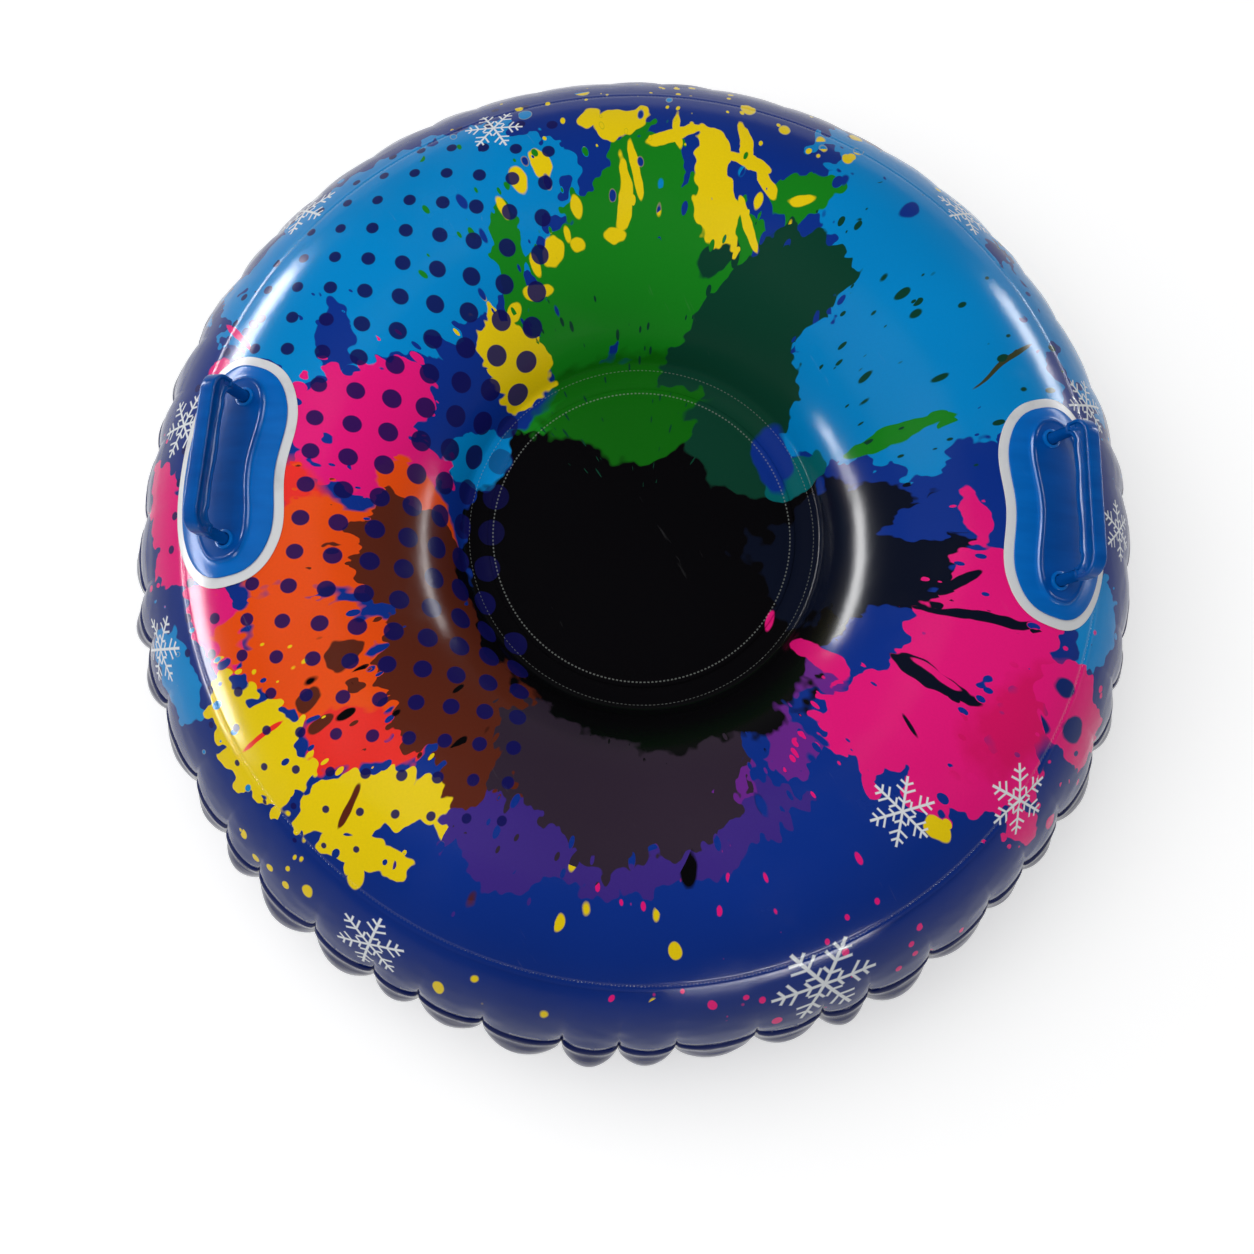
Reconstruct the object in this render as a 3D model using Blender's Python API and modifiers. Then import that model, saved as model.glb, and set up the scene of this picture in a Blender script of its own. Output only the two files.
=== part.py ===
"""Inflatable snow tube: a ring of welded PVC sheet with a closed seat and two moulded handles.

Metres, +Z up. The tube lies flat and inflated. Its axis is +Z, and the origin is on the ground
under its middle. The handles are at +X and -X, and the valve is in the hollow under the seat.
"""

import math

import bmesh
import bpy
from mathutils import Matrix, Vector

# Section of the ring: a round crown from the seat weld to the rim seam, and a fuller base.
RING_RADIUS = 0.3245
SECTION_RADIUS = 0.169
TUBE_HEIGHT = 0.316
CONTACT_HALF_WIDTH = 0.032
BASE_FULLNESS = 2.3

# Places of the welds on the crown, in angles from straight up.
SEAT_ANGLE = math.radians(66.1)
SHOULDER_ANGLE = math.radians(42.2)
SEAM_ANGLE = math.radians(76.7)

# Where the base sheet bends, in angles from straight down, outer side first.
BASE_TOP = math.radians(80)
BASE_SWELL_END = math.radians(62)
BASE_OUTER_BENDS = (math.radians(50), math.radians(32))
BASE_INNER_BENDS = (math.radians(-30), math.radians(-54), math.radians(-73), math.radians(-90))
WALL_BEND = math.radians(-78)

# Sheets, and the space between sheets that lie on each other.
TOP_SHEET = 0.0008
SIDE_SHEET = 0.0008
BASE_SHEET = 0.0012
SEAT_SHEET = 0.0012
SHEET_GAP = 0.0003
SHOULDER_GAP = 0.0006
RIM_GAP = 0.0009
SHOULDER_LAP = 0.012
RIM_LAP = 0.011
RIM_OVERHANG = 0.0020
FLANGE_WIDTH = 0.045
SEAT_LAP = 0.020

# The rim seam is drawn in at uneven pinches, and both sheets swell between them.
PINCHES = 48
PINCH_STEPS = 4
PINCH_WANDER_SHARE = 0.24
PINCH_WANDER_TURNS = 14
SWELL_CHANGE_SHARE = 0.18
SWELL_CHANGE_TURNS = 10
LOBE_ROUNDNESS = 0.8
SIDE_SWELL = 0.0015
LAP_SWELL = 0.0032
LAP_PINCH = 0.0020
EDGE_SWELL = 0.0042
EDGE_PINCH = 0.0036
SCALLOP_TOP_SWELL = 0.0020
SCALLOP_SWELL = 0.0160
SCALLOP_LOW_SWELL = 0.0080
SCALLOP_PINCH = 0.0040
SCALLOP_TOP_DROP = 0.010
CROWN_STRIPS = 8

# Handle plates, bent over the outer shoulder of the ring.
HANDLE_LEAN = math.radians(22.3)
HANDLE_SWING = math.radians(3.2)
PATCH_HALF_LENGTH = 0.111
PATCH_HALF_WIDTH = 0.0615
PATCH_THICKNESS = 0.0006
PATCH_GAP = 0.0005
PATCH_MARGIN = 0.009
PLATE_ROUNDNESS = 2.6
PLATE_WAIST = 0.003
PLATE_EDGE = 0.0014
FLANGE_RISE = 0.0026
PAD_HALF_LENGTH = 0.088
PAD_HALF_WIDTH = 0.030
PAD_HEIGHT = 0.0072
PAD_LIP = 0.0010
PAD_LIP_WIDTH = 0.0045
PAD_DRAFT = 0.0025
PLATE_POINTS = 32
PLATE_STRIP = 0.019
PLATE_SPINE = 0.0063
PLATE_GAP = 0.0006

# Grips: a moulded bar on two round posts, whose heads are held under the pad.
POST_SPACING = 0.137
POST_RADIUS = 0.0057
POST_CLEARANCE = 0.0004
POST_INSET = 0.0090
HEAD_RADIUS = 0.0085
HEAD_THICKNESS = 0.0018
HEAD_CLEARANCE = 0.0005
COLLAR_WIDTH = 0.0032
COLLAR_RISE = 0.0014
FINGER_HEIGHT = 0.038
BAR_HEIGHT = 0.022
BAR_THICKNESS = 0.0145
BAR_CORNER_RADIUS = 0.020
BAR_INNER_RADIUS = 0.010
BAR_EDGE_RADIUS = 0.0022
LEG_LENGTH = 0.009
RECESS_DEPTH = 0.0022
RECESS_MARGIN = 0.0035
FINGER_WAVES = 2
FINGER_WAVE_DEPTH = 0.0016
WAVE_STEPS = 8
CORNER_STEPS = 5
INNER_CORNER_STEPS = 4
BEVEL_ANGLE = math.radians(50)

# Inflation valve: a wide screw valve in the wall of the hollow under the seat.
VALVE_DROP_SHARE = 0.2381
VALVE_FLANGE_RADIUS = 0.032
VALVE_FLANGE_SHEET = 0.0014
VALVE_FLANGE_GAP = 0.0008
BOSS_RADIUS = 0.0190
BOSS_WALL = 0.0026
BOSS_INSIDE = 0.014
BOSS_OUTSIDE = 0.0055
SKIN_HOLE_GAP = 0.0005
SKIN_HOLE_REACH = 0.040
THREAD_GAP = 0.0004
PLUG_RIM_RADIUS = 0.0225
PLUG_RIM_THICKNESS = 0.0028
PLUG_DEPTH = 0.0165
PLUG_BORE_RADIUS = 0.0100
NECK_RADIUS = 0.0125
NECK_HEIGHT = 0.0060
SPIDER_THICKNESS = 0.0018
SPIDER_BAR = 0.0030
HUB_RADIUS = 0.0034
STEM_RADIUS = 0.0012
STEM_CLEARANCE = 0.0003
FLAP_RADIUS = 0.0125
FLAP_THICKNESS = 0.0010
FLAP_TRAVEL = 0.0020
STEM_HEAD_RADIUS = 0.0024
STEM_HEAD_THICKNESS = 0.0010
CAP_WALL = 0.0024
CAP_TOP = 0.0022
CAP_EDGE = 0.0008
CAP_GAP = 0.0004

OVERRUN = 0.004
MERGE_DISTANCE = 0.00001
SMOOTH_ANGLE = math.radians(40)
ROUND_SEGMENTS = 24
SMALL_SEGMENTS = 14

# Worked out from the sizes above.
SECTION_HEIGHT = TUBE_HEIGHT - SECTION_RADIUS
SEAT_HEIGHT = SECTION_HEIGHT + SECTION_RADIUS * math.cos(SEAT_ANGLE)
SEAT_WELD_RADIUS = RING_RADIUS - SECTION_RADIUS * math.sin(SEAT_ANGLE)
SEAT_DISC_RADIUS = SEAT_WELD_RADIUS - SEAT_LAP
FLANGE_HOLE_RADIUS = SEAT_WELD_RADIUS - FLANGE_WIDTH
VALVE_HEIGHT = SECTION_HEIGHT * (1 - VALVE_DROP_SHARE)
HANDLE_REACH = RING_RADIUS + SECTION_RADIUS * math.sin(HANDLE_LEAN)
QUARTER = math.pi / 2

# Colours of the sheets and mouldings.
FINISHES = {
    "printed_pvc": ((0.012, 0.070, 0.400), 0.22),
    "navy_pvc": ((0.006, 0.014, 0.085), 0.25),
    "seat_print": ((0.008, 0.008, 0.012), 0.28),
    "white_pvc": ((0.780, 0.790, 0.800), 0.35),
    "blue_moulding": ((0.004, 0.085, 0.440), 0.27),
    "grip_moulding": ((0.004, 0.070, 0.400), 0.24),
    "valve_plastic": ((0.010, 0.012, 0.016), 0.40),
    "silicone": ((0.600, 0.610, 0.600), 0.45),
}


def clear_scene():
    for thing in list(bpy.data.objects):
        bpy.data.objects.remove(thing, do_unlink=True)


def new_collection(name):
    group = bpy.data.collections.new(name)
    bpy.context.scene.collection.children.link(group)
    return group


def finish(name):
    """A plain shader in one of the part's colours."""
    material = bpy.data.materials.get(name) or bpy.data.materials.new(name)
    colour, roughness = FINISHES[name]
    material.use_nodes = True
    shader = material.node_tree.nodes["Principled BSDF"]
    shader.inputs["Base Color"].default_value = (*colour, 1)
    shader.inputs["Roughness"].default_value = roughness
    shader.inputs["Metallic"].default_value = 0
    return material


def add_mesh(name, mesh, material, group):
    thing = bpy.data.objects.new(name, mesh)
    group.objects.link(thing)
    if material:
        mesh.materials.clear()
        mesh.materials.append(finish(material))
    mesh.shade_smooth()
    mesh.set_sharp_from_angle(angle=SMOOTH_ANGLE)
    return thing


def mesh_from(bm, name):
    bmesh.ops.recalc_face_normals(bm, faces=bm.faces)
    mesh = bpy.data.meshes.new(name)
    bm.to_mesh(mesh)
    bm.free()
    return mesh


def baked(thing):
    """The mesh that the modifiers of an object give, with loose caps welded."""
    bpy.context.view_layer.update()
    graph = bpy.context.evaluated_depsgraph_get()
    mesh = bpy.data.meshes.new_from_object(thing.evaluated_get(graph))
    bm = bmesh.new()
    bm.from_mesh(mesh)
    bmesh.ops.remove_doubles(bm, verts=bm.verts, dist=MERGE_DISTANCE)
    bm.to_mesh(mesh)
    bm.free()
    return mesh


def combine(target, other, operation):
    """Joins or cuts a mesh object with another one, which is then a hidden tool."""
    modifier = target.modifiers.new(other.name, "BOOLEAN")
    modifier.operation = operation
    modifier.solver = "EXACT"
    modifier.object = other
    other.hide_render = True
    other.display_type = "WIRE"


# Ring section


def crown_point(angle, out=0.0):
    """Radius and height on the crown, at an angle from straight up that grows outwards."""
    reach = SECTION_RADIUS + out
    return RING_RADIUS + reach * math.sin(angle), SECTION_HEIGHT + reach * math.cos(angle)


def base_point(angle, out=0.0):
    """Radius and height on the base, at an angle from straight down that grows outwards."""
    power = 2 / BASE_FULLNESS
    across = math.copysign(abs(math.sin(angle)) ** power, angle)
    down = abs(math.cos(angle)) ** power
    radius = RING_RADIUS + (SECTION_RADIUS + out) * across
    return radius, SECTION_HEIGHT - (SECTION_HEIGHT + out) * down


def inner_wall_radius(height):
    """Radius of the wall of the hollow under the seat."""
    fall = max((SECTION_HEIGHT - height) / SECTION_HEIGHT, 0)
    return RING_RADIUS - SECTION_RADIUS * (1 - fall**BASE_FULLNESS) ** (1 / BASE_FULLNESS)


def pinch_angle(index):
    turn = math.tau * index / PINCHES
    wander = PINCH_WANDER_SHARE * math.tau / PINCHES
    return turn + wander * math.sin(PINCH_WANDER_TURNS * turn)


def columns(step):
    """Angle round the ring and swell from 0 to 1 of every column, or of every second or fourth."""
    found = []
    for index in range(0, PINCHES * PINCH_STEPS, step):
        scallop, part = divmod(index, PINCH_STEPS)
        share = part / PINCH_STEPS
        start, end = pinch_angle(scallop), pinch_angle(scallop + 1)
        change = SWELL_CHANGE_SHARE * math.sin(SWELL_CHANGE_TURNS * math.tau * scallop / PINCHES)
        lobe = math.sin(math.pi * share) ** LOBE_ROUNDNESS * (1 + change)
        found.append((start + (end - start) * share, lobe))
    return found


def ring_row(bm, profile, step):
    """One row of points round the ring. profile gives radius and height for a swell."""
    row = []
    for angle, lobe in columns(step):
        radius, height = profile(lobe)
        row.append(bm.verts.new((radius * math.cos(angle), radius * math.sin(angle), height)))
    return row


def stitch(bm, first, second, under):
    """Faces between two closed rows, where the second may have a half or a quarter of the points.

    Sheets that lie on each other are split along the same diagonals, so that they stay apart.
    """
    count = len(second)
    ratio = len(first) // count
    turn = ratio // 2 if ratio > 1 else int(under)
    for index in range(count):
        here, there = second[index], second[(index + 1) % count]
        chain = [first[(index * ratio + k) % len(first)] for k in range(ratio + 1)]
        for k in range(ratio):
            bm.faces.new((chain[k], chain[k + 1], here if k < turn else there))
        bm.faces.new((chain[turn], there, here))


def ring_sheet(name, rows, thickness, material, group, under=False):
    """A welded sheet: rows of (profile, column step) from rim to hole, solid towards the air."""
    bm = bmesh.new()
    made = [ring_row(bm, profile, step) for profile, step in rows]
    for first, second in zip(made, made[1:]):
        stitch(bm, first, second, under)
    if under:
        bmesh.ops.reverse_faces(bm, faces=bm.faces)
    mesh = bpy.data.meshes.new(name)
    bm.normal_update()
    bm.to_mesh(mesh)
    bm.free()
    thing = add_mesh(name, mesh, material, group)
    shell = thing.modifiers.new("sheet", "SOLIDIFY")
    shell.thickness = thickness
    shell.offset = -1
    return thing


def fixed(point):
    return lambda lobe: point


def swelling(angle, out, swell, pinch, drop=0.0):
    """A crown row that stands out by swell between pinches and is drawn in by pinch at them."""

    def profile(lobe):
        radius, height = crown_point(angle, out - pinch + (swell + pinch) * lobe)
        return radius, height - drop * lobe

    return profile


def swelling_base(angle, swell, pinch):
    def profile(lobe):
        return base_point(angle, -pinch + (swell + pinch) * lobe)

    return profile


# Sheets of the ring


SIDE_OUT = -(TOP_SHEET + SHOULDER_GAP)
RIM_OUT = SIDE_OUT - SIDE_SHEET - RIM_GAP
LAP_ANGLE = SEAM_ANGLE - RIM_LAP / SECTION_RADIUS
TUCK_ANGLE = SHOULDER_ANGLE - SHOULDER_LAP / SECTION_RADIUS


def make_top_skin(group):
    rows = [(fixed(crown_point(SHOULDER_ANGLE)), PINCH_STEPS)]
    for strip in range(CROWN_STRIPS + 1):
        angle = TUCK_ANGLE - (TUCK_ANGLE + SEAT_ANGLE) * strip / CROWN_STRIPS
        rows.append((fixed(crown_point(angle)), PINCH_STEPS))
    rows.append((fixed((FLANGE_HOLE_RADIUS, SEAT_HEIGHT)), PINCH_STEPS))
    return ring_sheet("top_skin", rows, TOP_SHEET, "printed_pvc", group)


def make_side_skin(group):
    middle = (SHOULDER_ANGLE + LAP_ANGLE) / 2
    rows = [
        (swelling(SEAM_ANGLE, SIDE_OUT, EDGE_SWELL, EDGE_PINCH, EDGE_SWELL), 1),
        (swelling(LAP_ANGLE, SIDE_OUT, LAP_SWELL, LAP_PINCH), 1),
        (swelling(middle, SIDE_OUT, SIDE_SWELL, 0), 1),
        (fixed(crown_point(SHOULDER_ANGLE, SIDE_OUT)), PINCH_STEPS),
        (fixed(crown_point(TUCK_ANGLE, SIDE_OUT)), PINCH_STEPS),
    ]
    return ring_sheet("side_skin", rows, SIDE_SHEET, "printed_pvc", group)


def make_base_skin(group, tools):
    edge_angle = SEAM_ANGLE + RIM_OVERHANG / SECTION_RADIUS
    scallop_angle = edge_angle + SCALLOP_TOP_DROP / SECTION_RADIUS
    flange = SEAT_HEIGHT - TOP_SHEET - SHEET_GAP - BASE_SHEET
    far, near = RING_RADIUS + CONTACT_HALF_WIDTH, RING_RADIUS - CONTACT_HALF_WIDTH
    rows = [
        (swelling(LAP_ANGLE, RIM_OUT, LAP_SWELL, LAP_PINCH), 1),
        (swelling(edge_angle, RIM_OUT, EDGE_SWELL, EDGE_PINCH, EDGE_SWELL), 1),
        (swelling(scallop_angle, 0, SCALLOP_TOP_SWELL, SCALLOP_PINCH, EDGE_SWELL), 1),
        (swelling_base(BASE_TOP, SCALLOP_SWELL, SCALLOP_PINCH), 1),
        (swelling_base(BASE_SWELL_END, SCALLOP_LOW_SWELL, 0), 2),
    ]
    rows += [(fixed(base_point(angle)), PINCH_STEPS) for angle in BASE_OUTER_BENDS]
    rows += [(fixed((radius, 0)), PINCH_STEPS) for radius in (far, near)]
    rows += [(fixed(base_point(angle)), PINCH_STEPS) for angle in BASE_INNER_BENDS]
    rows.append((fixed(crown_point(WALL_BEND)), PINCH_STEPS))
    rows.append((fixed((SEAT_WELD_RADIUS, flange)), PINCH_STEPS))
    rows.append((fixed((FLANGE_HOLE_RADIUS, flange)), PINCH_STEPS))
    skin = ring_sheet("base_skin", rows, BASE_SHEET, "navy_pvc", group, under=True)
    hole = turned(
        "valve_hole_tool",
        [
            (0, SKIN_HOLE_REACH),
            (BOSS_RADIUS + SKIN_HOLE_GAP, SKIN_HOLE_REACH),
            (BOSS_RADIUS + SKIN_HOLE_GAP, -SKIN_HOLE_REACH),
            (0, -SKIN_HOLE_REACH),
        ],
        None,
        tools,
    )
    hole.matrix_world = valve_frame()
    combine(skin, hole, "DIFFERENCE")
    return skin


def make_seat_disc(group):
    bottom = SEAT_HEIGHT + SHEET_GAP
    bm = bmesh.new()
    bmesh.ops.create_cone(
        bm,
        cap_ends=True,
        segments=PINCHES,
        radius1=SEAT_DISC_RADIUS,
        radius2=SEAT_DISC_RADIUS,
        depth=SEAT_SHEET,
        matrix=Matrix.Translation((0, 0, bottom + SEAT_SHEET / 2)),
    )
    return add_mesh("seat_disc", mesh_from(bm, "seat_disc"), "seat_print", group)


# Handles


def on_shoulder(along, across, out, handle_angle):
    """A point of a sheet bent over the shoulder: along and across the plate, and out from the skin."""
    angle = handle_angle + along / HANDLE_REACH
    radius, height = crown_point(HANDLE_LEAN + across / SECTION_RADIUS, out)
    return Vector((radius * math.cos(angle), radius * math.sin(angle), height))


def plate_outline(half_length, half_width):
    """A long rounded plate, narrower at its waist."""
    power = 2 / PLATE_ROUNDNESS
    points = []
    for index in range(PLATE_POINTS):
        turn = math.tau * index / PLATE_POINTS
        along = math.copysign(abs(math.cos(turn)) ** power, math.cos(turn)) * half_length
        across = abs(math.sin(turn)) ** power * half_width
        waist = PLATE_WAIST * math.cos(QUARTER * along / half_length) ** 2
        across = max(across - waist * across / half_width, 0)
        points.append((along, math.copysign(across, math.sin(turn))))
    return points


def bent_plate(name, rings, material, group, handle_angle):
    """A closed plate from rings of (half length, half width, height out from the skin)."""
    bm = bmesh.new()
    made = []
    for half_length, half_width, out in rings:
        outline = plate_outline(half_length, half_width)
        spots = [on_shoulder(along, across, out, handle_angle) for along, across in outline]
        made.append([bm.verts.new(spot) for spot in spots])
    for first, second in zip(made, made[1:]):
        for index in range(PLATE_POINTS):
            after = (index + 1) % PLATE_POINTS
            bm.faces.new((first[index], first[after], second[after], second[index]))
    for ring in (made[0], made[-1]):
        half = PLATE_POINTS // 2
        bm.faces.new((ring[0], ring[1], ring[-1]))
        for index in range(1, half - 1):
            bm.faces.new((ring[index], ring[index + 1], ring[-index - 1], ring[-index]))
        bm.faces.new((ring[half - 1], ring[half], ring[half + 1]))
    return add_mesh(name, mesh_from(bm, name), material, group)


def inward_rings(half_length, half_width, out):
    """Rings from an edge inwards, narrow enough for a bent sheet to follow the skin."""
    strips = math.ceil((half_width - PLATE_SPINE) / PLATE_STRIP)
    step = (half_width - PLATE_SPINE) / strips
    insets = [step * index for index in range(strips + 1)]
    return [(half_length - inset, half_width - inset, out) for inset in insets]


def make_handle_patch(name, handle_angle, group):
    """The white sheet under the moulding, which shows as a border round it."""
    low, high = PATCH_GAP, PATCH_GAP + PATCH_THICKNESS
    rings = inward_rings(PATCH_HALF_LENGTH, PATCH_HALF_WIDTH, high)
    rings = rings[::-1] + inward_rings(PATCH_HALF_LENGTH, PATCH_HALF_WIDTH, low)
    return bent_plate(name, rings, "white_pvc", group, handle_angle)


BASE_UNDERSIDE = PATCH_GAP + PATCH_THICKNESS + PLATE_GAP
PAD_TOP = BASE_UNDERSIDE + PAD_HEIGHT
PLATE_HALF_LENGTH = PATCH_HALF_LENGTH - PATCH_MARGIN
PLATE_HALF_WIDTH = PATCH_HALF_WIDTH - PATCH_MARGIN


def handle_frame(handle_angle):
    """Axes of a grip: X along the plate, Y down the shoulder, Z out from the skin."""
    out = Vector((math.cos(handle_angle), math.sin(handle_angle), 0))
    up = Vector((0, 0, 1))
    normal = out * math.sin(HANDLE_LEAN) + up * math.cos(HANDLE_LEAN)
    down = out * math.cos(HANDLE_LEAN) - up * math.sin(HANDLE_LEAN)
    along = down.cross(normal)
    frame = Matrix((along, down, normal)).transposed().to_4x4()
    frame.translation = on_shoulder(0, 0, 0, handle_angle)
    return frame


def post_foot():
    """How far the bent skin has fallen away from a grip's flat frame at a post."""
    turn = POST_SPACING / 2 / HANDLE_REACH
    return -HANDLE_REACH * (1 - math.cos(turn)) * math.sin(HANDLE_LEAN)


def disc(name, radius, low, high, frame, at, segments, tools):
    bm = bmesh.new()
    bmesh.ops.create_cone(
        bm,
        cap_ends=True,
        segments=segments,
        radius1=radius,
        radius2=radius,
        depth=high - low,
        matrix=Matrix.Translation((at[0], at[1], (low + high) / 2)),
    )
    thing = add_mesh(name, mesh_from(bm, name), None, tools)
    thing.matrix_world = frame
    return thing


def make_handle_base(name, handle_angle, group, tools):
    """Flange, raised pad with a rolled lip, and a collar round each post."""
    pad = (PAD_HALF_LENGTH, PAD_HALF_WIDTH)
    lip = PAD_LIP_WIDTH
    rings = inward_rings(pad[0] - lip, pad[1] - lip, PAD_TOP - PAD_LIP)[::-1]
    rings += [
        (pad[0] - lip / 2, pad[1] - lip / 2, PAD_TOP),
        (pad[0], pad[1], PAD_TOP - PAD_LIP / 2),
        (pad[0] + PAD_DRAFT, pad[1] + PAD_DRAFT, BASE_UNDERSIDE + FLANGE_RISE),
        (PLATE_HALF_LENGTH, PLATE_HALF_WIDTH, BASE_UNDERSIDE + PLATE_EDGE),
    ]
    rings += inward_rings(PLATE_HALF_LENGTH, PLATE_HALF_WIDTH, BASE_UNDERSIDE)
    plate = bent_plate(name, rings, "blue_moulding", group, handle_angle)
    frame = handle_frame(handle_angle)
    foot = post_foot()
    for side in (-1, 1):
        at = (side * POST_SPACING / 2, -POST_INSET)
        mark = f"{name}_{'low' if side < 0 else 'high'}"
        hole = POST_RADIUS + POST_CLEARANCE
        top = foot + PAD_TOP + COLLAR_RISE
        collar = disc(
            f"{mark}_collar",
            hole + COLLAR_WIDTH,
            foot + PAD_TOP - PAD_HEIGHT / 2,
            top,
            frame,
            at,
            SMALL_SEGMENTS,
            tools,
        )
        bore = disc(
            f"{mark}_bore",
            hole,
            foot - OVERRUN,
            top + OVERRUN,
            frame,
            at,
            SMALL_SEGMENTS,
            tools,
        )
        pocket = disc(
            f"{mark}_pocket",
            HEAD_RADIUS + HEAD_CLEARANCE,
            foot - OVERRUN,
            head_top(foot) + HEAD_CLEARANCE,
            frame,
            at,
            SMALL_SEGMENTS,
            tools,
        )
        combine(plate, collar, "UNION")
        combine(plate, bore, "DIFFERENCE")
        combine(plate, pocket, "DIFFERENCE")
    return plate


def head_top(foot):
    """Top of a post's head, in the pocket under the pad."""
    return foot + BASE_UNDERSIDE + HEAD_CLEARANCE + HEAD_THICKNESS


def arc(centre, radius, start, end, steps):
    points = []
    for index in range(steps + 1):
        angle = start + (end - start) * index / steps
        points.append((centre[0] + radius * math.cos(angle), centre[1] + radius * math.sin(angle)))
    return points


def bar_outline(inset):
    """The bar and its two short legs, seen along the shoulder: X along, Y out from the skin."""
    half = POST_SPACING / 2 + POST_RADIUS - inset
    leg = 2 * (POST_RADIUS - inset)
    under = PAD_TOP + FINGER_HEIGHT + inset
    top = PAD_TOP + FINGER_HEIGHT + BAR_HEIGHT - inset
    foot = PAD_TOP + FINGER_HEIGHT - LEG_LENGTH + inset
    outer = BAR_CORNER_RADIUS - inset
    inner = BAR_INNER_RADIUS + inset
    right = [(half, foot)]
    right += arc((half - outer, top - outer), outer, 0, QUARTER, CORNER_STEPS)
    left = [(-x, y) for x, y in reversed(right)]
    centre = (-half + leg + inner, under - inner)
    turn = arc(centre, inner, math.pi, QUARTER, INNER_CORNER_STEPS)
    waves = finger_waves(half - leg - inner, under)
    back = [(-x, y) for x, y in reversed(turn)]
    ends = [(-half + leg, foot), (half - leg, foot)]
    return right + left + ends[:1] + turn + waves + back + ends[1:]


def finger_waves(reach, under):
    """Points of the shallow finger hollows along the underside of the bar."""
    points = []
    for index in range(1, WAVE_STEPS):
        share = index / WAVE_STEPS
        lift = math.sin(math.pi * share * FINGER_WAVES) ** 2
        points.append((-reach + 2 * reach * share, under + FINGER_WAVE_DEPTH * (lift - 1)))
    return points


def extruded(name, outline, thickness, group):
    """A flat outline given a thickness, standing on its long edge, as a closed mesh."""
    curve = bpy.data.curves.new(name, "CURVE")
    curve.dimensions = "2D"
    curve.fill_mode = "BOTH"
    curve.extrude = thickness / 2
    spline = curve.splines.new("POLY")
    spline.points.add(len(outline) - 1)
    for point, (x, y) in zip(spline.points, outline):
        point.co = (x, y, 0, 1)
    spline.use_cyclic_u = True
    rough = bpy.data.objects.new(name + "_outline", curve)
    group.objects.link(rough)
    mesh = baked(rough)
    bpy.data.objects.remove(rough, do_unlink=True)
    mesh.transform(Matrix.Rotation(QUARTER, 4, "X"))
    return mesh


def make_grip(name, handle_angle, group, tools):
    bar = add_mesh(name, extruded(name, bar_outline(0), BAR_THICKNESS, tools), "grip_moulding", group)
    frame = handle_frame(handle_angle) @ Matrix.Translation((0, -POST_INSET, 0))
    bar.matrix_world = frame
    edge = bar.modifiers.new("rounded_edges", "BEVEL")
    edge.width = BAR_EDGE_RADIUS
    edge.segments = 1
    edge.limit_method = "ANGLE"
    edge.angle_limit = BEVEL_ANGLE
    for side in (-1, 1):
        depth = BAR_THICKNESS
        mesh = extruded(f"{name}_recess", bar_outline(RECESS_MARGIN), depth, tools)
        recess = add_mesh(f"{name}_recess_{side}", mesh, None, tools)
        shift = side * (BAR_THICKNESS - RECESS_DEPTH)
        recess.matrix_world = frame @ Matrix.Translation((0, shift, 0))
        combine(bar, recess, "DIFFERENCE")
    foot = post_foot()
    seat = head_top(foot) - HEAD_THICKNESS
    for side in (-1, 1):
        at = (side * POST_SPACING / 2, 0)
        mark = f"{name}_{'low' if side < 0 else 'high'}"
        into = PAD_TOP + FINGER_HEIGHT + POST_RADIUS
        post = disc(f"{mark}_post", POST_RADIUS, seat, into, frame, at, SMALL_SEGMENTS, tools)
        head = disc(
            f"{mark}_head", HEAD_RADIUS, seat, head_top(foot), frame, at, SMALL_SEGMENTS, tools
        )
        combine(bar, post, "UNION")
        combine(bar, head, "UNION")
    return bar


# Valve


def valve_frame():
    """Z points out of the wall towards the middle of the hollow, and the origin is on the wall."""
    frame = Matrix.Rotation(QUARTER, 4, "X")
    frame.translation = (0, inner_wall_radius(VALVE_HEIGHT), VALVE_HEIGHT)
    return frame


def turned(name, profile, material, group, segments=ROUND_SEGMENTS):
    """A profile of (radius, height), from the top down its outer side, turned about Z."""
    mesh = bpy.data.meshes.new(name)
    closed = profile[0][0] > 0
    edges = [(k, k + 1) for k in range(len(profile) - 1)]
    if closed:
        edges.append((len(profile) - 1, 0))
    mesh.from_pydata([(r, 0, z) for r, z in profile], edges, [])
    thing = bpy.data.objects.new(name, mesh)
    group.objects.link(thing)
    if material:
        mesh.materials.append(finish(material))
    screw = thing.modifiers.new("turn", "SCREW")
    screw.axis = "Z"
    screw.steps = segments
    screw.render_steps = segments
    screw.use_merge_vertices = True
    screw.merge_threshold = MERGE_DISTANCE
    screw.use_smooth_shade = False
    return thing


def valve_flange_mesh(name):
    """The ring that is welded to the skin round the boss. It follows the curved wall."""
    wall = inner_wall_radius(VALVE_HEIGHT)
    near, far = VALVE_FLANGE_GAP, VALVE_FLANGE_GAP + VALVE_FLANGE_SHEET
    inside = BOSS_RADIUS - BOSS_WALL / 2
    middle = (BOSS_RADIUS + VALVE_FLANGE_RADIUS) / 2
    loops = [(inside, near), (middle, near), (VALVE_FLANGE_RADIUS, near)]
    loops += [(reach, far) for reach, _ in reversed(loops)]
    bm = bmesh.new()
    made = []
    for reach, out in loops:
        row = []
        for index in range(ROUND_SEGMENTS):
            turn = math.tau * index / ROUND_SEGMENTS
            height = VALVE_HEIGHT + reach * math.sin(turn)
            angle = QUARTER + reach * math.cos(turn) / wall
            radius = inner_wall_radius(height) - out
            row.append(bm.verts.new((radius * math.cos(angle), radius * math.sin(angle), height)))
        made.append(row)
    for first, second in zip(made, made[1:] + made[:1]):
        for index in range(ROUND_SEGMENTS):
            after = (index + 1) % ROUND_SEGMENTS
            bm.faces.new((first[index], first[after], second[after], second[index]))
    return mesh_from(bm, name)


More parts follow.
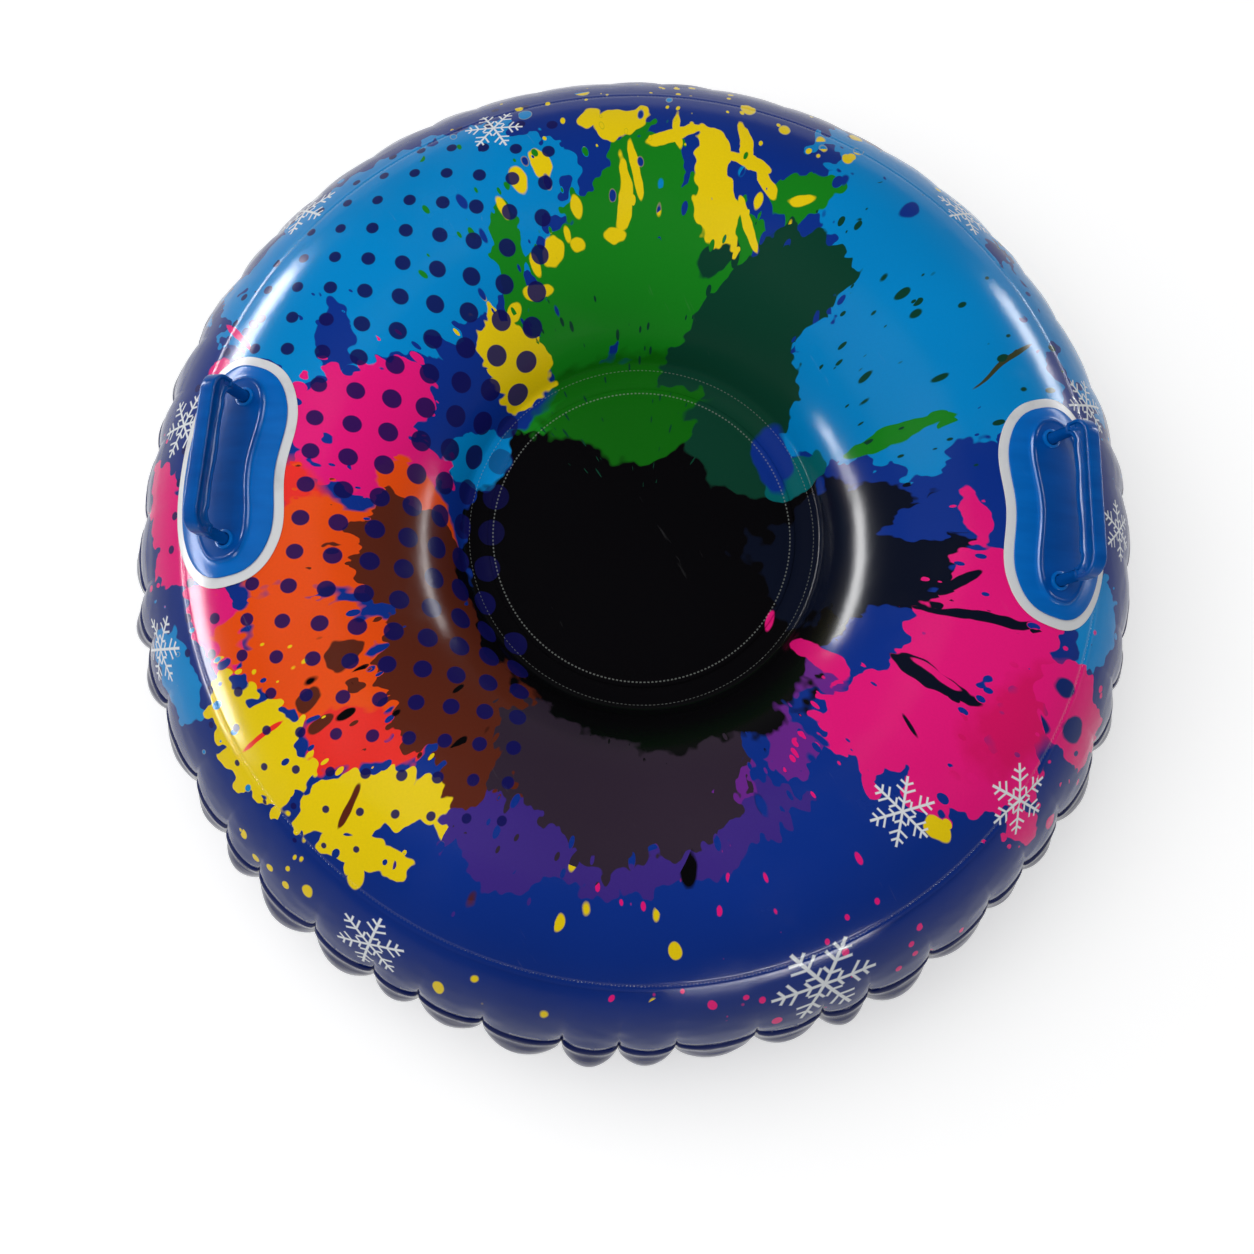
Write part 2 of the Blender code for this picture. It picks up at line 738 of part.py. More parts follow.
def make_valve_seat(group, tools):
    seat = add_mesh("valve_seat", valve_flange_mesh("valve_seat"), "navy_pvc", group)
    bore = BOSS_RADIUS - BOSS_WALL
    profile = [
        (BOSS_RADIUS, BOSS_OUTSIDE),
        (BOSS_RADIUS, -BOSS_INSIDE),
        (bore, -BOSS_INSIDE),
        (bore, BOSS_OUTSIDE),
    ]
    boss = turned("valve_boss_tool", profile, None, tools)
    boss.matrix_world = valve_frame()
    combine(seat, boss, "UNION")
    return seat


PLUG_RADIUS = BOSS_RADIUS - BOSS_WALL - THREAD_GAP
RIM_LOW = BOSS_OUTSIDE + SHEET_GAP
RIM_HIGH = RIM_LOW + PLUG_RIM_THICKNESS
NECK_TOP = RIM_HIGH + NECK_HEIGHT
PLUG_FOOT = RIM_LOW - PLUG_DEPTH
SPIDER_TOP = PLUG_FOOT + SPIDER_THICKNESS


def make_valve_plug(group, tools):
    profile = [
        (NECK_RADIUS, NECK_TOP),
        (NECK_RADIUS, RIM_HIGH),
        (PLUG_RIM_RADIUS, RIM_HIGH),
        (PLUG_RIM_RADIUS, RIM_LOW),
        (PLUG_RADIUS, RIM_LOW),
        (PLUG_RADIUS, PLUG_FOOT),
        (PLUG_BORE_RADIUS, PLUG_FOOT),
        (PLUG_BORE_RADIUS, NECK_TOP),
    ]
    frame = valve_frame()
    plug = turned("valve_plug", profile, "valve_plastic", group)
    plug.matrix_world = frame
    hub = disc("hub_tool", HUB_RADIUS, PLUG_FOOT, SPIDER_TOP, frame, (0, 0), SMALL_SEGMENTS, tools)
    combine(plug, hub, "UNION")
    for name, turn in (("spider_bar_tool", 0), ("spider_cross_tool", QUARTER)):
        bm = bmesh.new()
        bmesh.ops.create_cube(bm, size=1)
        length = PLUG_BORE_RADIUS + PLUG_RADIUS
        bmesh.ops.scale(bm, vec=(length, SPIDER_BAR, SPIDER_THICKNESS), verts=bm.verts)
        bar = add_mesh(name, mesh_from(bm, name), None, tools)
        middle = (PLUG_FOOT + SPIDER_TOP) / 2
        bar.matrix_world = frame @ Matrix.Translation((0, 0, middle)) @ Matrix.Rotation(turn, 4, "Z")
        combine(plug, bar, "UNION")
    hole = disc(
        "stem_hole_tool",
        STEM_RADIUS + STEM_CLEARANCE,
        PLUG_FOOT - OVERRUN,
        SPIDER_TOP + OVERRUN,
        frame,
        (0, 0),
        SMALL_SEGMENTS,
        tools,
    )
    combine(plug, hole, "DIFFERENCE")
    return plug


def make_valve_flap(group):
    """The soft disc that seals the plug from inside, on a stem held by the hub."""
    top = PLUG_FOOT - SHEET_GAP
    head = SPIDER_TOP + FLAP_TRAVEL + SHEET_GAP
    profile = [
        (0, head + STEM_HEAD_THICKNESS),
        (STEM_HEAD_RADIUS, head + STEM_HEAD_THICKNESS),
        (STEM_HEAD_RADIUS, head),
        (STEM_RADIUS, head),
        (STEM_RADIUS, top),
        (FLAP_RADIUS, top),
        (FLAP_RADIUS, top - FLAP_THICKNESS),
        (0, top - FLAP_THICKNESS),
    ]
    flap = turned("valve_flap", profile, "silicone", group, SMALL_SEGMENTS)
    flap.matrix_world = valve_frame()
    return flap


def make_valve_cap(group):
    inner = NECK_RADIUS + CAP_GAP
    outer = inner + CAP_WALL
    under = NECK_TOP + SHEET_GAP
    low = RIM_HIGH + SHEET_GAP
    profile = [
        (0, under + CAP_TOP),
        (outer - CAP_EDGE, under + CAP_TOP),
        (outer, under + CAP_TOP - CAP_EDGE),
        (outer, low),
        (inner, low),
        (inner, under),
        (0, under),
    ]
    cap = turned("valve_cap", profile, "valve_plastic", group)
    cap.matrix_world = valve_frame()
    return cap


def make_tube():
    clear_scene()
    group = new_collection("snow_tube")
    tools = new_collection("tools")
    make_top_skin(group)
    make_side_skin(group)
    make_base_skin(group, tools)
    make_seat_disc(group)
    for side, handle_angle in (("right", HANDLE_SWING), ("left", math.pi - HANDLE_SWING)):
        make_handle_patch(f"handle_patch_{side}", handle_angle, group)
        make_handle_base(f"handle_base_{side}", handle_angle, group, tools)
        make_grip(f"grip_{side}", handle_angle, group, tools)
    make_valve_seat(group, tools)
    make_valve_plug(group, tools)
    make_valve_flap(group)
    make_valve_cap(group)
    tools.hide_render = True


make_tube()
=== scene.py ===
"""Snow tube: the looks of every piece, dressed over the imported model.

Metres, +Z up, in the model's own frame: the tube lies flat and inflated, its handles are at +X
and -X, and the valve is in the hollow under the seat, at +Y.
"""

import math

import bmesh
import bpy
from mathutils import Matrix, Vector, noise


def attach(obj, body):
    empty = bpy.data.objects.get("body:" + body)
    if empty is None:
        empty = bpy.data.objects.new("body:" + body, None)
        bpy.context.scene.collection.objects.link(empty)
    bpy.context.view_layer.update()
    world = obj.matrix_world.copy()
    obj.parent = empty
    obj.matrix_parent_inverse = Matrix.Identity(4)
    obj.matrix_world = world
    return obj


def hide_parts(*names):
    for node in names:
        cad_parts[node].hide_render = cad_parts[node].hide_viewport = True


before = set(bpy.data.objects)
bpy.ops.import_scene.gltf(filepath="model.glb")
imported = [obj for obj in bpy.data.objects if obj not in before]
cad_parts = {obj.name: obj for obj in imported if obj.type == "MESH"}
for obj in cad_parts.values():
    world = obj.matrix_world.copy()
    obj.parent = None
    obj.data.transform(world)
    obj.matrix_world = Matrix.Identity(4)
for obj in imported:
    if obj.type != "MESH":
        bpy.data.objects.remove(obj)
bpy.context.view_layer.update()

# The studio: a pale seamless floor, and a camera that looks down at the tube from its near side.
# Light comes from a long strip at the left, weaker ones at the right and in front, and from above.
CAMERA_PLACE = (-0.061, -0.455, 2.031)
CAMERA_TILT = (math.radians(11.33), math.radians(-1.56), math.radians(2.81))
CAMERA_FOCUS_SHARE = 1.5279
CAMERA_SENSOR = 0.036
MILLIMETRES = 1000

tilt_x, tilt_y, turn_z = CAMERA_TILT
camera_data = bpy.data.cameras.new("photo_camera")
camera_data.sensor_fit = "HORIZONTAL"
camera_data.sensor_width = CAMERA_SENSOR * MILLIMETRES
camera_data.lens = CAMERA_SENSOR * MILLIMETRES * CAMERA_FOCUS_SHARE
camera = bpy.data.objects.new("photo_camera", camera_data)
bpy.context.scene.collection.objects.link(camera)
tilt = Matrix.Rotation(tilt_x, 4, "X") @ Matrix.Rotation(tilt_y, 4, "Y")
camera.matrix_world = Matrix.Translation(CAMERA_PLACE) @ tilt @ Matrix.Rotation(turn_z, 4, "Z")
bpy.context.scene.camera = camera
bpy.context.scene.view_settings.view_transform = "Standard"


def new_material(name):
    """A material with its node tree and its shader."""
    material = bpy.data.materials.new(name)
    material.use_nodes = True
    return material, material.node_tree, material.node_tree.nodes["Principled BSDF"]


def feed(tree, value, socket):
    """Links one socket to another, or sets a plain value on it."""
    if isinstance(value, bpy.types.NodeSocket):
        tree.links.new(value, socket)
    else:
        socket.default_value = value


def calc(tree, operation, *values):
    """A math node on sockets or numbers."""
    node = tree.nodes.new("ShaderNodeMath")
    node.operation = operation
    for value, socket in zip(values, node.inputs):
        feed(tree, value, socket)
    return node.outputs[0]


def split(tree, vector):
    """The X, Y and Z sockets of a vector."""
    node = tree.nodes.new("ShaderNodeSeparateXYZ")
    feed(tree, vector, node.inputs[0])
    return node.outputs


def mapped(tree, value, low, high, to_low=0.0, to_high=1.0):
    """A value carried from one range to another, and held at its ends."""
    node = tree.nodes.new("ShaderNodeMapRange")
    for number, socket in zip((value, low, high, to_low, to_high), node.inputs):
        feed(tree, number, socket)
    return node.outputs["Result"]


def mixed(tree, share, below, above, kind="RGBA"):
    """Colours, vectors or values mixed by a share."""
    node = tree.nodes.new("ShaderNodeMix")
    node.data_type = kind
    first = {"FLOAT": 2, "VECTOR": 4, "RGBA": 6}[kind]
    feed(tree, share, node.inputs[0])
    feed(tree, below, node.inputs[first])
    feed(tree, above, node.inputs[first + 1])
    return node.outputs[first // 2 - 1]


WHITE = (1, 1, 1, 1)
FLOOR_COLOUR = (0.86, 0.86, 0.86, 1)
FLOOR_ROUGHNESS = 0.9
FLOOR_GLOW = 0.46
FLOOR_SIZE = 14.0

floor_material, tree, shader = new_material("studio_floor")
shader.inputs["Base Color"].default_value = FLOOR_COLOUR
shader.inputs["Roughness"].default_value = FLOOR_ROUGHNESS
shader.inputs["Specular IOR Level"].default_value = 0.0
# The floor shines only in the camera's view and in what mirrors it, so it lights nothing.
ray = tree.nodes.new("ShaderNodeLightPath").outputs
seen = calc(tree, "MAXIMUM", ray["Is Camera Ray"], ray["Is Glossy Ray"])
seen = calc(tree, "MAXIMUM", seen, ray["Is Transmission Ray"])
shader.inputs["Emission Color"].default_value = WHITE
feed(tree, calc(tree, "MULTIPLY", seen, FLOOR_GLOW), shader.inputs["Emission Strength"])

floor_mesh = bpy.data.meshes.new("studio_floor")
reach = FLOOR_SIZE / 2
corners = [(-reach, -reach, 0), (reach, -reach, 0), (reach, reach, 0), (-reach, reach, 0)]
floor_mesh.from_pydata(corners, [], [(0, 1, 2, 3)])
floor_mesh.materials.append(floor_material)
floor = bpy.data.objects.new("studio_floor", floor_mesh)
bpy.context.scene.collection.objects.link(floor)

# Glossy surfaces see a sky that is dark overhead and pale near the ground. It lights them evenly.
SKY_LOW, SKY_HIGH, SKY_DIFFUSE = 0.22, 0.03, 0.40
SKY_FADE_START, SKY_FADE_END = 0.02, 0.50

world = bpy.data.worlds.new("studio_world")
world.use_nodes = True
bpy.context.scene.world = world
tree = world.node_tree
height = split(tree, tree.nodes.new("ShaderNodeTexCoord").outputs["Generated"])["Z"]
fade = mapped(tree, height, SKY_FADE_START, SKY_FADE_END, SKY_LOW, SKY_HIGH)
diffuse = tree.nodes.new("ShaderNodeLightPath").outputs["Is Diffuse Ray"]
background = tree.nodes["Background"].inputs
feed(tree, mixed(tree, diffuse, fade, SKY_DIFFUSE, "FLOAT"), background["Strength"])
background["Color"].default_value = WHITE

LAMP_TARGET = Vector((0, 0, 0.25))


def add_panel(name, place, size, power, glossy=True, diffuse=True):
    """A soft rectangular lamp, turned towards the tube. It can be kept out of gloss or of shading."""
    data = bpy.data.lights.new(name, "AREA")
    data.shape = "RECTANGLE"
    data.size, data.size_y = size
    data.energy = power
    lamp = bpy.data.objects.new(name, data)
    lamp.location = place
    lamp.rotation_euler = (LAMP_TARGET - Vector(place)).to_track_quat("-Z", "Y").to_euler()
    lamp.visible_glossy, lamp.visible_diffuse = glossy, diffuse
    bpy.context.scene.collection.objects.link(lamp)


add_panel("left_strip", (-2.25, 0.45, 0.62), (3.0, 0.44), 175, diffuse=False)
add_panel("right_soft", (2.45, 1.15, 0.55), (1.9, 0.36), 52, diffuse=False)
add_panel("front_fill", (1.2, -2.7, 0.50), (1.5, 0.24), 34, diffuse=False)
add_panel("ceiling", (-1.1, 0.1, 3.1), (2.4, 2.4), 44, glossy=False)

# Top skin: a flat ring of 0.8 mm vinyl sheet, printed before it was cut, and pulled round by the
# air inside. It is welded to the side band at the shoulder and to the base round the seat.
RING_RADIUS = 0.3245
SECTION_RADIUS = 0.169
SECTION_HEIGHT = 0.147
SEAT_ANGLE = math.radians(66.1)
SHOULDER_ANGLE = math.radians(42.2)
SEAM_ANGLE = math.radians(76.7)
SEAT_HEIGHT = SECTION_HEIGHT + SECTION_RADIUS * math.cos(SEAT_ANGLE)
SEAT_WELD_RADIUS = RING_RADIUS - SECTION_RADIUS * math.sin(SEAT_ANGLE)
BASE_SQUARENESS = 2.3
TOP_SHEET = 0.0008
SHARP_EDGE = math.radians(50)


def crown_point(angle, out=0.0):
    """Radius and height on the crown, at an angle from straight up that grows outwards."""
    reach = SECTION_RADIUS + out
    return RING_RADIUS + reach * math.sin(angle), SECTION_HEIGHT + reach * math.cos(angle)


def base_point(angle, out=0.0):
    """Radius and height on the base, at an angle from straight down that grows outwards."""
    power = 2 / BASE_SQUARENESS
    across = math.copysign(abs(math.sin(angle)) ** power, angle)
    down = abs(math.cos(angle)) ** power
    radius = RING_RADIUS + (SECTION_RADIUS + out) * across
    return radius, SECTION_HEIGHT - (SECTION_HEIGHT + out) * down


def new_piece(name, mesh):
    """Links a mesh as a piece, smooth apart from its sharp edges."""
    mesh.validate()
    mesh.shade_smooth()
    mesh.set_sharp_from_angle(angle=SHARP_EDGE)
    piece = bpy.data.objects.new(name, mesh)
    bpy.context.scene.collection.objects.link(piece)
    return piece


def lathe(name, rows, angles):
    """A skin from rows of profile functions of the column round the ring, joined by quads."""
    points = []
    for row in rows:
        for column, angle in enumerate(angles):
            radius, height = row(column)
            points.append((radius * math.cos(angle), radius * math.sin(angle), height))
    count = len(angles)
    faces = []
    for row in range(len(rows) - 1):
        for column in range(count):
            after = (column + 1) % count
            low, high = row * count, (row + 1) * count
            faces.append((low + column, low + after, high + after, high + column))
    mesh = bpy.data.meshes.new(name)
    mesh.from_pydata(points, [], faces)
    return new_piece(name, mesh)


def dress(piece, materials, node, body="tube"):
    """Gives a piece its materials, and sets it in the place of a node of the model."""
    for material in materials:
        piece.data.materials.append(material)
    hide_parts(node)
    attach(piece, body)


TOP_COLUMNS = 384
even_angles = [math.tau * index / TOP_COLUMNS for index in range(TOP_COLUMNS)]
SLACK_DEPTH, SLACK_WAVES_ROUND, SLACK_WAVES_OUT = 0.0011, 2.2, 2.0


def steady(radius, height):
    """A row that is the same all the way round."""
    return lambda column: (radius, height)


def slack(angle, depth):
    """A crown row with slow, shallow unevenness, as a soft skin has under low pressure."""

    def profile(column):
        turn = even_angles[column]
        x, y = math.cos(turn) * SLACK_WAVES_ROUND, math.sin(turn) * SLACK_WAVES_ROUND
        return crown_point(angle, depth * noise.noise(Vector((x, y, angle * SLACK_WAVES_OUT))))

    return profile


# The cut edge lies on the side band, and the welding bar has left a groove behind it.
TUCK, EDGE_ROUND = 0.006, 0.0002
GROOVE_BACK, GROOVE_WIDTH, GROOVE_DEPTH = 0.0065, 0.0016, 0.0006
GROOVE_ROWS, GROOVE_PITCH = 12, 0.001
CROWN_ROWS, CROWN_BACK, CROWN_STOP = 44, 0.014, math.radians(3)
BEND_ROWS, BEND_RADIUS = 10, 0.1525
FLANGE_RADII = (0.1505, 0.148, 0.126)

rows = []
edge = ((TUCK, -TOP_SHEET - 0.0001), (0, -TOP_SHEET), (-EDGE_ROUND, -TOP_SHEET / 2), (0, 0))
for back, out in edge:
    rows.append(steady(*crown_point(SHOULDER_ANGLE - back / SECTION_RADIUS, out)))
for step in range(1, GROOVE_ROWS + 1):
    back = GROOVE_PITCH * step
    groove = GROOVE_DEPTH * math.exp(-(((back - GROOVE_BACK) / GROOVE_WIDTH) ** 2))
    rows.append(steady(*crown_point(SHOULDER_ANGLE - back / SECTION_RADIUS, -groove)))
start, end = SHOULDER_ANGLE - CROWN_BACK / SECTION_RADIUS, CROWN_STOP - SEAT_ANGLE
for step in range(CROWN_ROWS):
    share = step / (CROWN_ROWS - 1)
    rows.append(slack(start + (end - start) * share, SLACK_DEPTH * math.sin(math.pi * share)))
# The sheet turns from the wall of the bowl into the welded flange in a soft bend.
wall_radius, wall_height = crown_point(end)
for step in range(1, BEND_ROWS + 1):
    share = step / BEND_ROWS
    radius = wall_radius + (BEND_RADIUS - wall_radius) * share
    rows.append(steady(radius, SEAT_HEIGHT + (wall_height - SEAT_HEIGHT) * (1 - share) ** 2))
rows += [steady(radius, SEAT_HEIGHT) for radius in FLANGE_RADII]
top_skin = lathe("printed_top_skin", rows, even_angles)


def vectors(tree, operation, *values):
    """A vector math node on sockets or tuples."""
    node = tree.nodes.new("ShaderNodeVectorMath")
    node.operation = operation
    for value, socket in zip(values, node.inputs):
        feed(tree, value, socket)
    single = operation in ("LENGTH", "DISTANCE", "DOT_PRODUCT")
    return node.outputs["Value" if single else "Vector"]


def scaled(tree, vector, value):
    """A vector or colour times a value."""
    node = tree.nodes.new("ShaderNodeVectorMath")
    node.operation = "SCALE"
    feed(tree, vector, node.inputs[0])
    feed(tree, value, node.inputs["Scale"])
    return node.outputs[0]


def combined(tree, x, y, z):
    """A vector from its X, Y and Z."""
    node = tree.nodes.new("ShaderNodeCombineXYZ")
    for value, socket in zip((x, y, z), node.inputs):
        feed(tree, value, socket)
    return node.outputs[0]


def placed(tree, vector, centre, turn, size, kind="TEXTURE"):
    """A vector seen from a centre, a turn and a size, or put there with kind POINT."""
    node = tree.nodes.new("ShaderNodeMapping")
    node.vector_type = kind
    feed(tree, vector, node.inputs["Vector"])
    node.inputs["Location"].default_value = (*centre, 0)[:3]
    node.inputs["Rotation"].default_value = (0, 0, turn)
    node.inputs["Scale"].default_value = (*size, 1)[:3]
    return node.outputs[0]


def grained(tree, vector, scale, detail=2.0, roughness=0.5):
    """A noise field round zero, and its colour."""
    node = tree.nodes.new("ShaderNodeTexNoise")
    feed(tree, vector, node.inputs["Vector"])
    node.inputs["Scale"].default_value = scale
    node.inputs["Detail"].default_value = detail
    node.inputs["Roughness"].default_value = roughness
    return calc(tree, "SUBTRACT", node.outputs["Fac"], 0.5), node.outputs["Color"]


def mottled(tree, place, grain, low, high, colour, other):
    """A colour that turns to another in patches. The grain is a scale and a detail."""
    return mixed(tree, mapped(tree, grained(tree, place, *grain)[0], low, high), colour, other)


def new_group(name, inputs, outputs):
    """A shader node group with named sockets, as (name, kind) pairs."""
    tree = bpy.data.node_groups.new(name, "ShaderNodeTree")
    kinds = {"value": "NodeSocketFloat", "vector": "NodeSocketVector", "colour": "NodeSocketColor"}
    for way, sockets in (("INPUT", inputs), ("OUTPUT", outputs)):
        for label, kind in sockets:
            tree.interface.new_socket(name=label, in_out=way, socket_type=kinds[kind])
    return tree, tree.nodes.new("NodeGroupInput").outputs, tree.nodes.new("NodeGroupOutput").inputs


def use_group(tree, group, **values):
    """Places a group in a tree. An underscore in a name stands for a space."""
    node = tree.nodes.new("ShaderNodeGroup")
    node.node_tree = group
    for label, value in values.items():
        feed(tree, value, node.inputs[label.replace("_", " ")])
    return node.outputs


# The print was made on a flat sheet, so it is drawn on the skin rolled out flat round the middle.
flat_sheet, given, put = new_group(
    "flat sheet", [("Place", "vector")], [("Flat", "vector"), ("Reach", "value")]
)
x, y, z = split(flat_sheet, given["Place"])[:3]
ground = combined(flat_sheet, x, y, 0.0)
radius = vectors(flat_sheet, "LENGTH", ground)
across = calc(flat_sheet, "SUBTRACT", radius, RING_RADIUS)
angle = calc(flat_sheet, "ARCTAN2", across, calc(flat_sheet, "SUBTRACT", z, SECTION_HEIGHT))
beyond = calc(flat_sheet, "MAXIMUM", calc(flat_sheet, "ADD", angle, SEAT_ANGLE), 0.0)
inside = calc(flat_sheet, "MINIMUM", radius, SEAT_WELD_RADIUS)
rolled_out = calc(flat_sheet, "MULTIPLY_ADD", beyond, SECTION_RADIUS, inside)
heading = vectors(flat_sheet, "NORMALIZE", ground)
feed(flat_sheet, scaled(flat_sheet, heading, rolled_out), put["Flat"])
feed(flat_sheet, rolled_out, put["Reach"])


def ink(red, green, blue):
    """A printed colour from its 0 to 255 display values."""
    values = [value / 255 for value in (red, green, blue)]
    return (*[v / 12.92 if v <= 0.04045 else ((v + 0.055) / 1.055) ** 2.4 for v in values], 1)


INKS = {
    "royal": ink(14, 52, 146),
    # Night blue is an ink of the spatters, and also the painted shade that the print darkens to down
    # the outer side.
    "night_and_rim_shade": ink(15, 42, 112),
    "sky": ink(0, 140, 212),
    "green": ink(24, 136, 30),
    "deep_green": ink(18, 108, 16),
    "bottle": ink(14, 66, 48),
    "yellow": ink(247, 215, 14),
    "pink": ink(242, 24, 128),
    "rose": ink(226, 20, 104),
    "red": ink(250, 48, 40),
    "orange": ink(250, 84, 16),
    "brown": ink(98, 41, 26),
    "violet": ink(66, 44, 138),
    "plum": ink(112, 42, 146),
    "slate": ink(54, 42, 57),
    "black": ink(10, 9, 12),
    "ink": ink(14, 20, 38),
    "teal": ink(2, 104, 108),
    "olive": ink(60, 66, 40),
}
DOT_INK = ink(20, 20, 92)
ICE_INK = ink(236, 240, 244)

# Splashes in the order in which they were printed, in runs of one ink: middle, half length and
# half width, turn in degrees, raggedness of the edge, and its softness where it isn't crisp.
# Sizes in millimetres, rolled out flat.
CRISP = 0.8
SPLASHES = [
    ("sky", (-283, 290, 212, 110, 28, 16), (-332, 171, 116, 45, 9, 18), (-205, 321, 81, 62, 75, 14),
        (-151, 65, 70, 30, -3, 10), (237, 171, 140, 77, 27, 10), (307, 257, 191, 100, -59, 12),
        (310, 109, 91, 42, 7, 14), (311, 410, 128, 63, -15, 14), (469, 265, 119, 46, -67, 12),
        (477, -83, 53, 36, -63, 16), (-495, -181, 54, 34, -65, 14)),
    ("royal", (-328, 173, 48, 18, -78, 20), (-243, 132, 61, 24, -5, 16)),
    ("green", (-55, 284, 138, 65, 65, 12), (27, 277, 107, 66, 56, 12)),
    ("deep_green", (-17, 138, 92, 57, 13, 10, 8)),
    ("green", (-156, 271, 74, 18, -81, 16), (-73, 104, 45, 29, 24, 8, 2), (161, 361, 34, 23, 11, 12)),
    ("bottle", (111, 238, 117, 57, 46, 10), (107, 147, 76, 47, 62, 10), (153, 288, 51, 37, 45, 12),
        (65, 297, 25, 13, 49, 8)),
    ("green", (261, 101, 47, 10, 15, 8)),
    ("sky", (175, 217, 27, 11, 33, 8)),
    ("yellow", (-44, 432, 29, 20, 26, 10), (-42, 350, 40, 8, 87, 6), (-47, 314, 11, 10, -52, 4),
        (-26, 376, 25, 5, -84, 4), (16, 413, 28, 7, 23, 6), (18, 419, 21, 4, -84, 4),
        (92, 388, 33, 9, -13, 8), (85, 409, 35, 9, -83, 8), (94, 330, 37, 6, -63, 6),
        (115, 372, 17, 8, -44, 6), (159, 357, 14, 5, 3, 3), (-124, 256, 18, 7, 19, 5),
        (-152, 227, 14, 8, 65, 5), (-75, 440, 11, 14, -25, 3), (59, 367, 61, 20, -77, 9),
        (-108, 293, 13, 10, -71, 4), (-85, 302, 9, 8, -63, 3), (-127, 378, 19, 9, -78, 6),
        (-150, 172, 62, 34, -52, 12)),
    ("pink", (-308, 99, 75, 45, 18, 12), (-281, 42, 74, 37, 0, 10), (-511, -18, 84, 35, -67, 16),
        (-428, -135, 54, 28, -61, 12), (-447, 178, 31, 4, -43, 2), (-465, 143, 14, 10, 10, 4)),
    ("red", (-360, -8, 46, 28, -46, 10, 10)),
    ("orange", (-335, -52, 85, 53, 22, 10, 4), (-336, -148, 80, 46, -5, 12, 3),
        (-270, -204, 59, 30, 1, 14), (-237, 4, 59, 25, -49, 10, 3), (-352, -186, 66, 30, -22, 10)),
    ("red", (-269, -254, 58, 34, -8, 12, 3)),
    ("brown", (-242, -62, 82, 57, -37, 12), (-184, -187, 123, 85, -57, 14),
        (-155, -282, 61, 48, -58, 14), (-337, -204, 11, 14, -1, 4), (-305, -164, 18, 16, 36, 5),
        (-314, -234, 12, 7, 38, 4)),
    ("yellow", (-379, -257, 78, 45, -57, 12), (-269, -321, 71, 29, 10, 14),
        (-266, -361, 47, 18, -10, 14), (-190, -332, 16, 8, -72, 4)),
    ("red", (-372, -242, 24, 3, 36, 2)),
    ("brown", (-279, -323, 21, 4, 66, 3)),
    ("violet", (-112, -348, 72, 41, 11, 16), (39, -365, 84, 23, 14, 16)),
    ("plum", (141, -211, 79, 43, -58, 16), (53, -324, 54, 23, 30, 14), (184, -142, 61, 21, -51, 10, 4),
        (152, -190, 66, 44, -50, 16)),
    ("violet", (90, -318, 92, 40, 20, 16)),
    ("plum", (96, -290, 52, 26, 30, 14)),
    ("violet", (-50, -362, 92, 26, -4, 16)),
    ("slate", (-5, -255, 136, 112, 7, 12), (-12, -355, 41, 20, 2, 14)),
    ("royal", (192, -206, 44, 24, -42, 14), (128, -240, 26, 15, -62, 10)),
    ("black", (20, -43, 208, 164, -7, 12, 2), (28, -165, 146, 81, -3, 12, 4)),
    ("ink", (230, -21, 117, 77, -4, 12, 2), (315, -82, 48, 15, -3, 6)),
    ("deep_green", (-21, 114, 84, 35, 5, 10, 3)),
    ("bottle", (88, 92, 60, 37, -28, 10, 2)),
    ("deep_green", (19, 96, 36, 14, 30, 7)),
    ("teal", (153, 67, 37, 18, 29, 8)),
    ("royal", (311, 15, 60, 26, 12, 12), (128, 84, 30, 16, -75, 8, 2), (350, 68, 34, 26, -15, 10)),
    ("pink", (285, -198, 101, 60, 22, 14), (361, -119, 76, 49, 6, 12), (352, -256, 82, 38, 12, 14)),
    ("rose", (392, -190, 66, 40, 50, 12, 16)),
    ("pink", (377, -60, 52, 36, -48, 12), (345, 18, 31, 12, -63, 7), (196, -139, 47, 10, -46, 6),
        (467, -186, 68, 38, -48, 16), (411, -300, 42, 16, -43, 10), (132, -76, 10, 4, 61, 2)),
    ("ink", (349, -92, 53, 5, 0, 3), (309, -157, 43, 9, -24, 5)),
    ("pink", (313, -153, 20, 3, -26, 2)),
    ("ink", (284, -209, 12, 3, -58, 2), (339, -58, 26, 4, 29, 3)),
    ("yellow", (306, -314, 14, 10, -43, 3)),
    ("olive", (377, 183, 43, 3, 42, 1)),
]

# Drops and specks that the splashes threw: ink, kind, middle and half sizes of the area.
SPATTERS = [
    ("bottle", "speck", 330, 250, 150, 190), ("bottle", "drop", 240, 250, 110, 120),
    ("bottle", "speck", -20, 200, 120, 150), ("royal", "drop", -150, 330, 90, 130),
    ("green", "speck", -190, 330, 80, 120), ("sky", "splat", -30, 430, 230, 70),
    ("royal", "splat", 190, 360, 110, 60), ("green", "speck", 40, 440, 260, 50),
    ("yellow", "drop", 20, 420, 330, 90), ("yellow", "speck", 60, 470, 420, 70),
    ("sky", "drop", 60, 470, 300, 50), ("yellow", "splat", 60, 470, 200, 40),
    ("royal", "drop", -60, 400, 110, 70), ("yellow", "splat", -120, 340, 70, 100),
    ("yellow", "drop", -260, -450, 330, 100), ("sky", "drop", -330, 400, 160, 60),
    ("yellow", "speck", -430, -280, 120, 160), ("sky", "speck", -470, -240, 90, 130),
    ("pink", "speck", 160, -450, 230, 110), ("pink", "drop", 480, -220, 70, 130),
    ("black", "blob", -70, -300, 210, 110), ("black", "drop", -250, -190, 110, 90),
    ("brown", "blob", -80, -380, 120, 60), ("night_and_rim_shade", "blob", 500, -90, 90, 200),
    ("royal", "blob", 150, -250, 90, 70), ("night_and_rim_shade", "blob", -520, 20, 80, 260),
]
# Snowflakes: middle and reach.
FLAKES = [
    (-182, 426, 33), (-397, 351, 42), (348, 384, 38), (-500, 85, 40), (482, 161, 38), (528, 26, 36),
    (-525, -159, 42), (270, -298, 36), (400, -277, 40), (-272, -466, 44), (211, -482, 62),
]
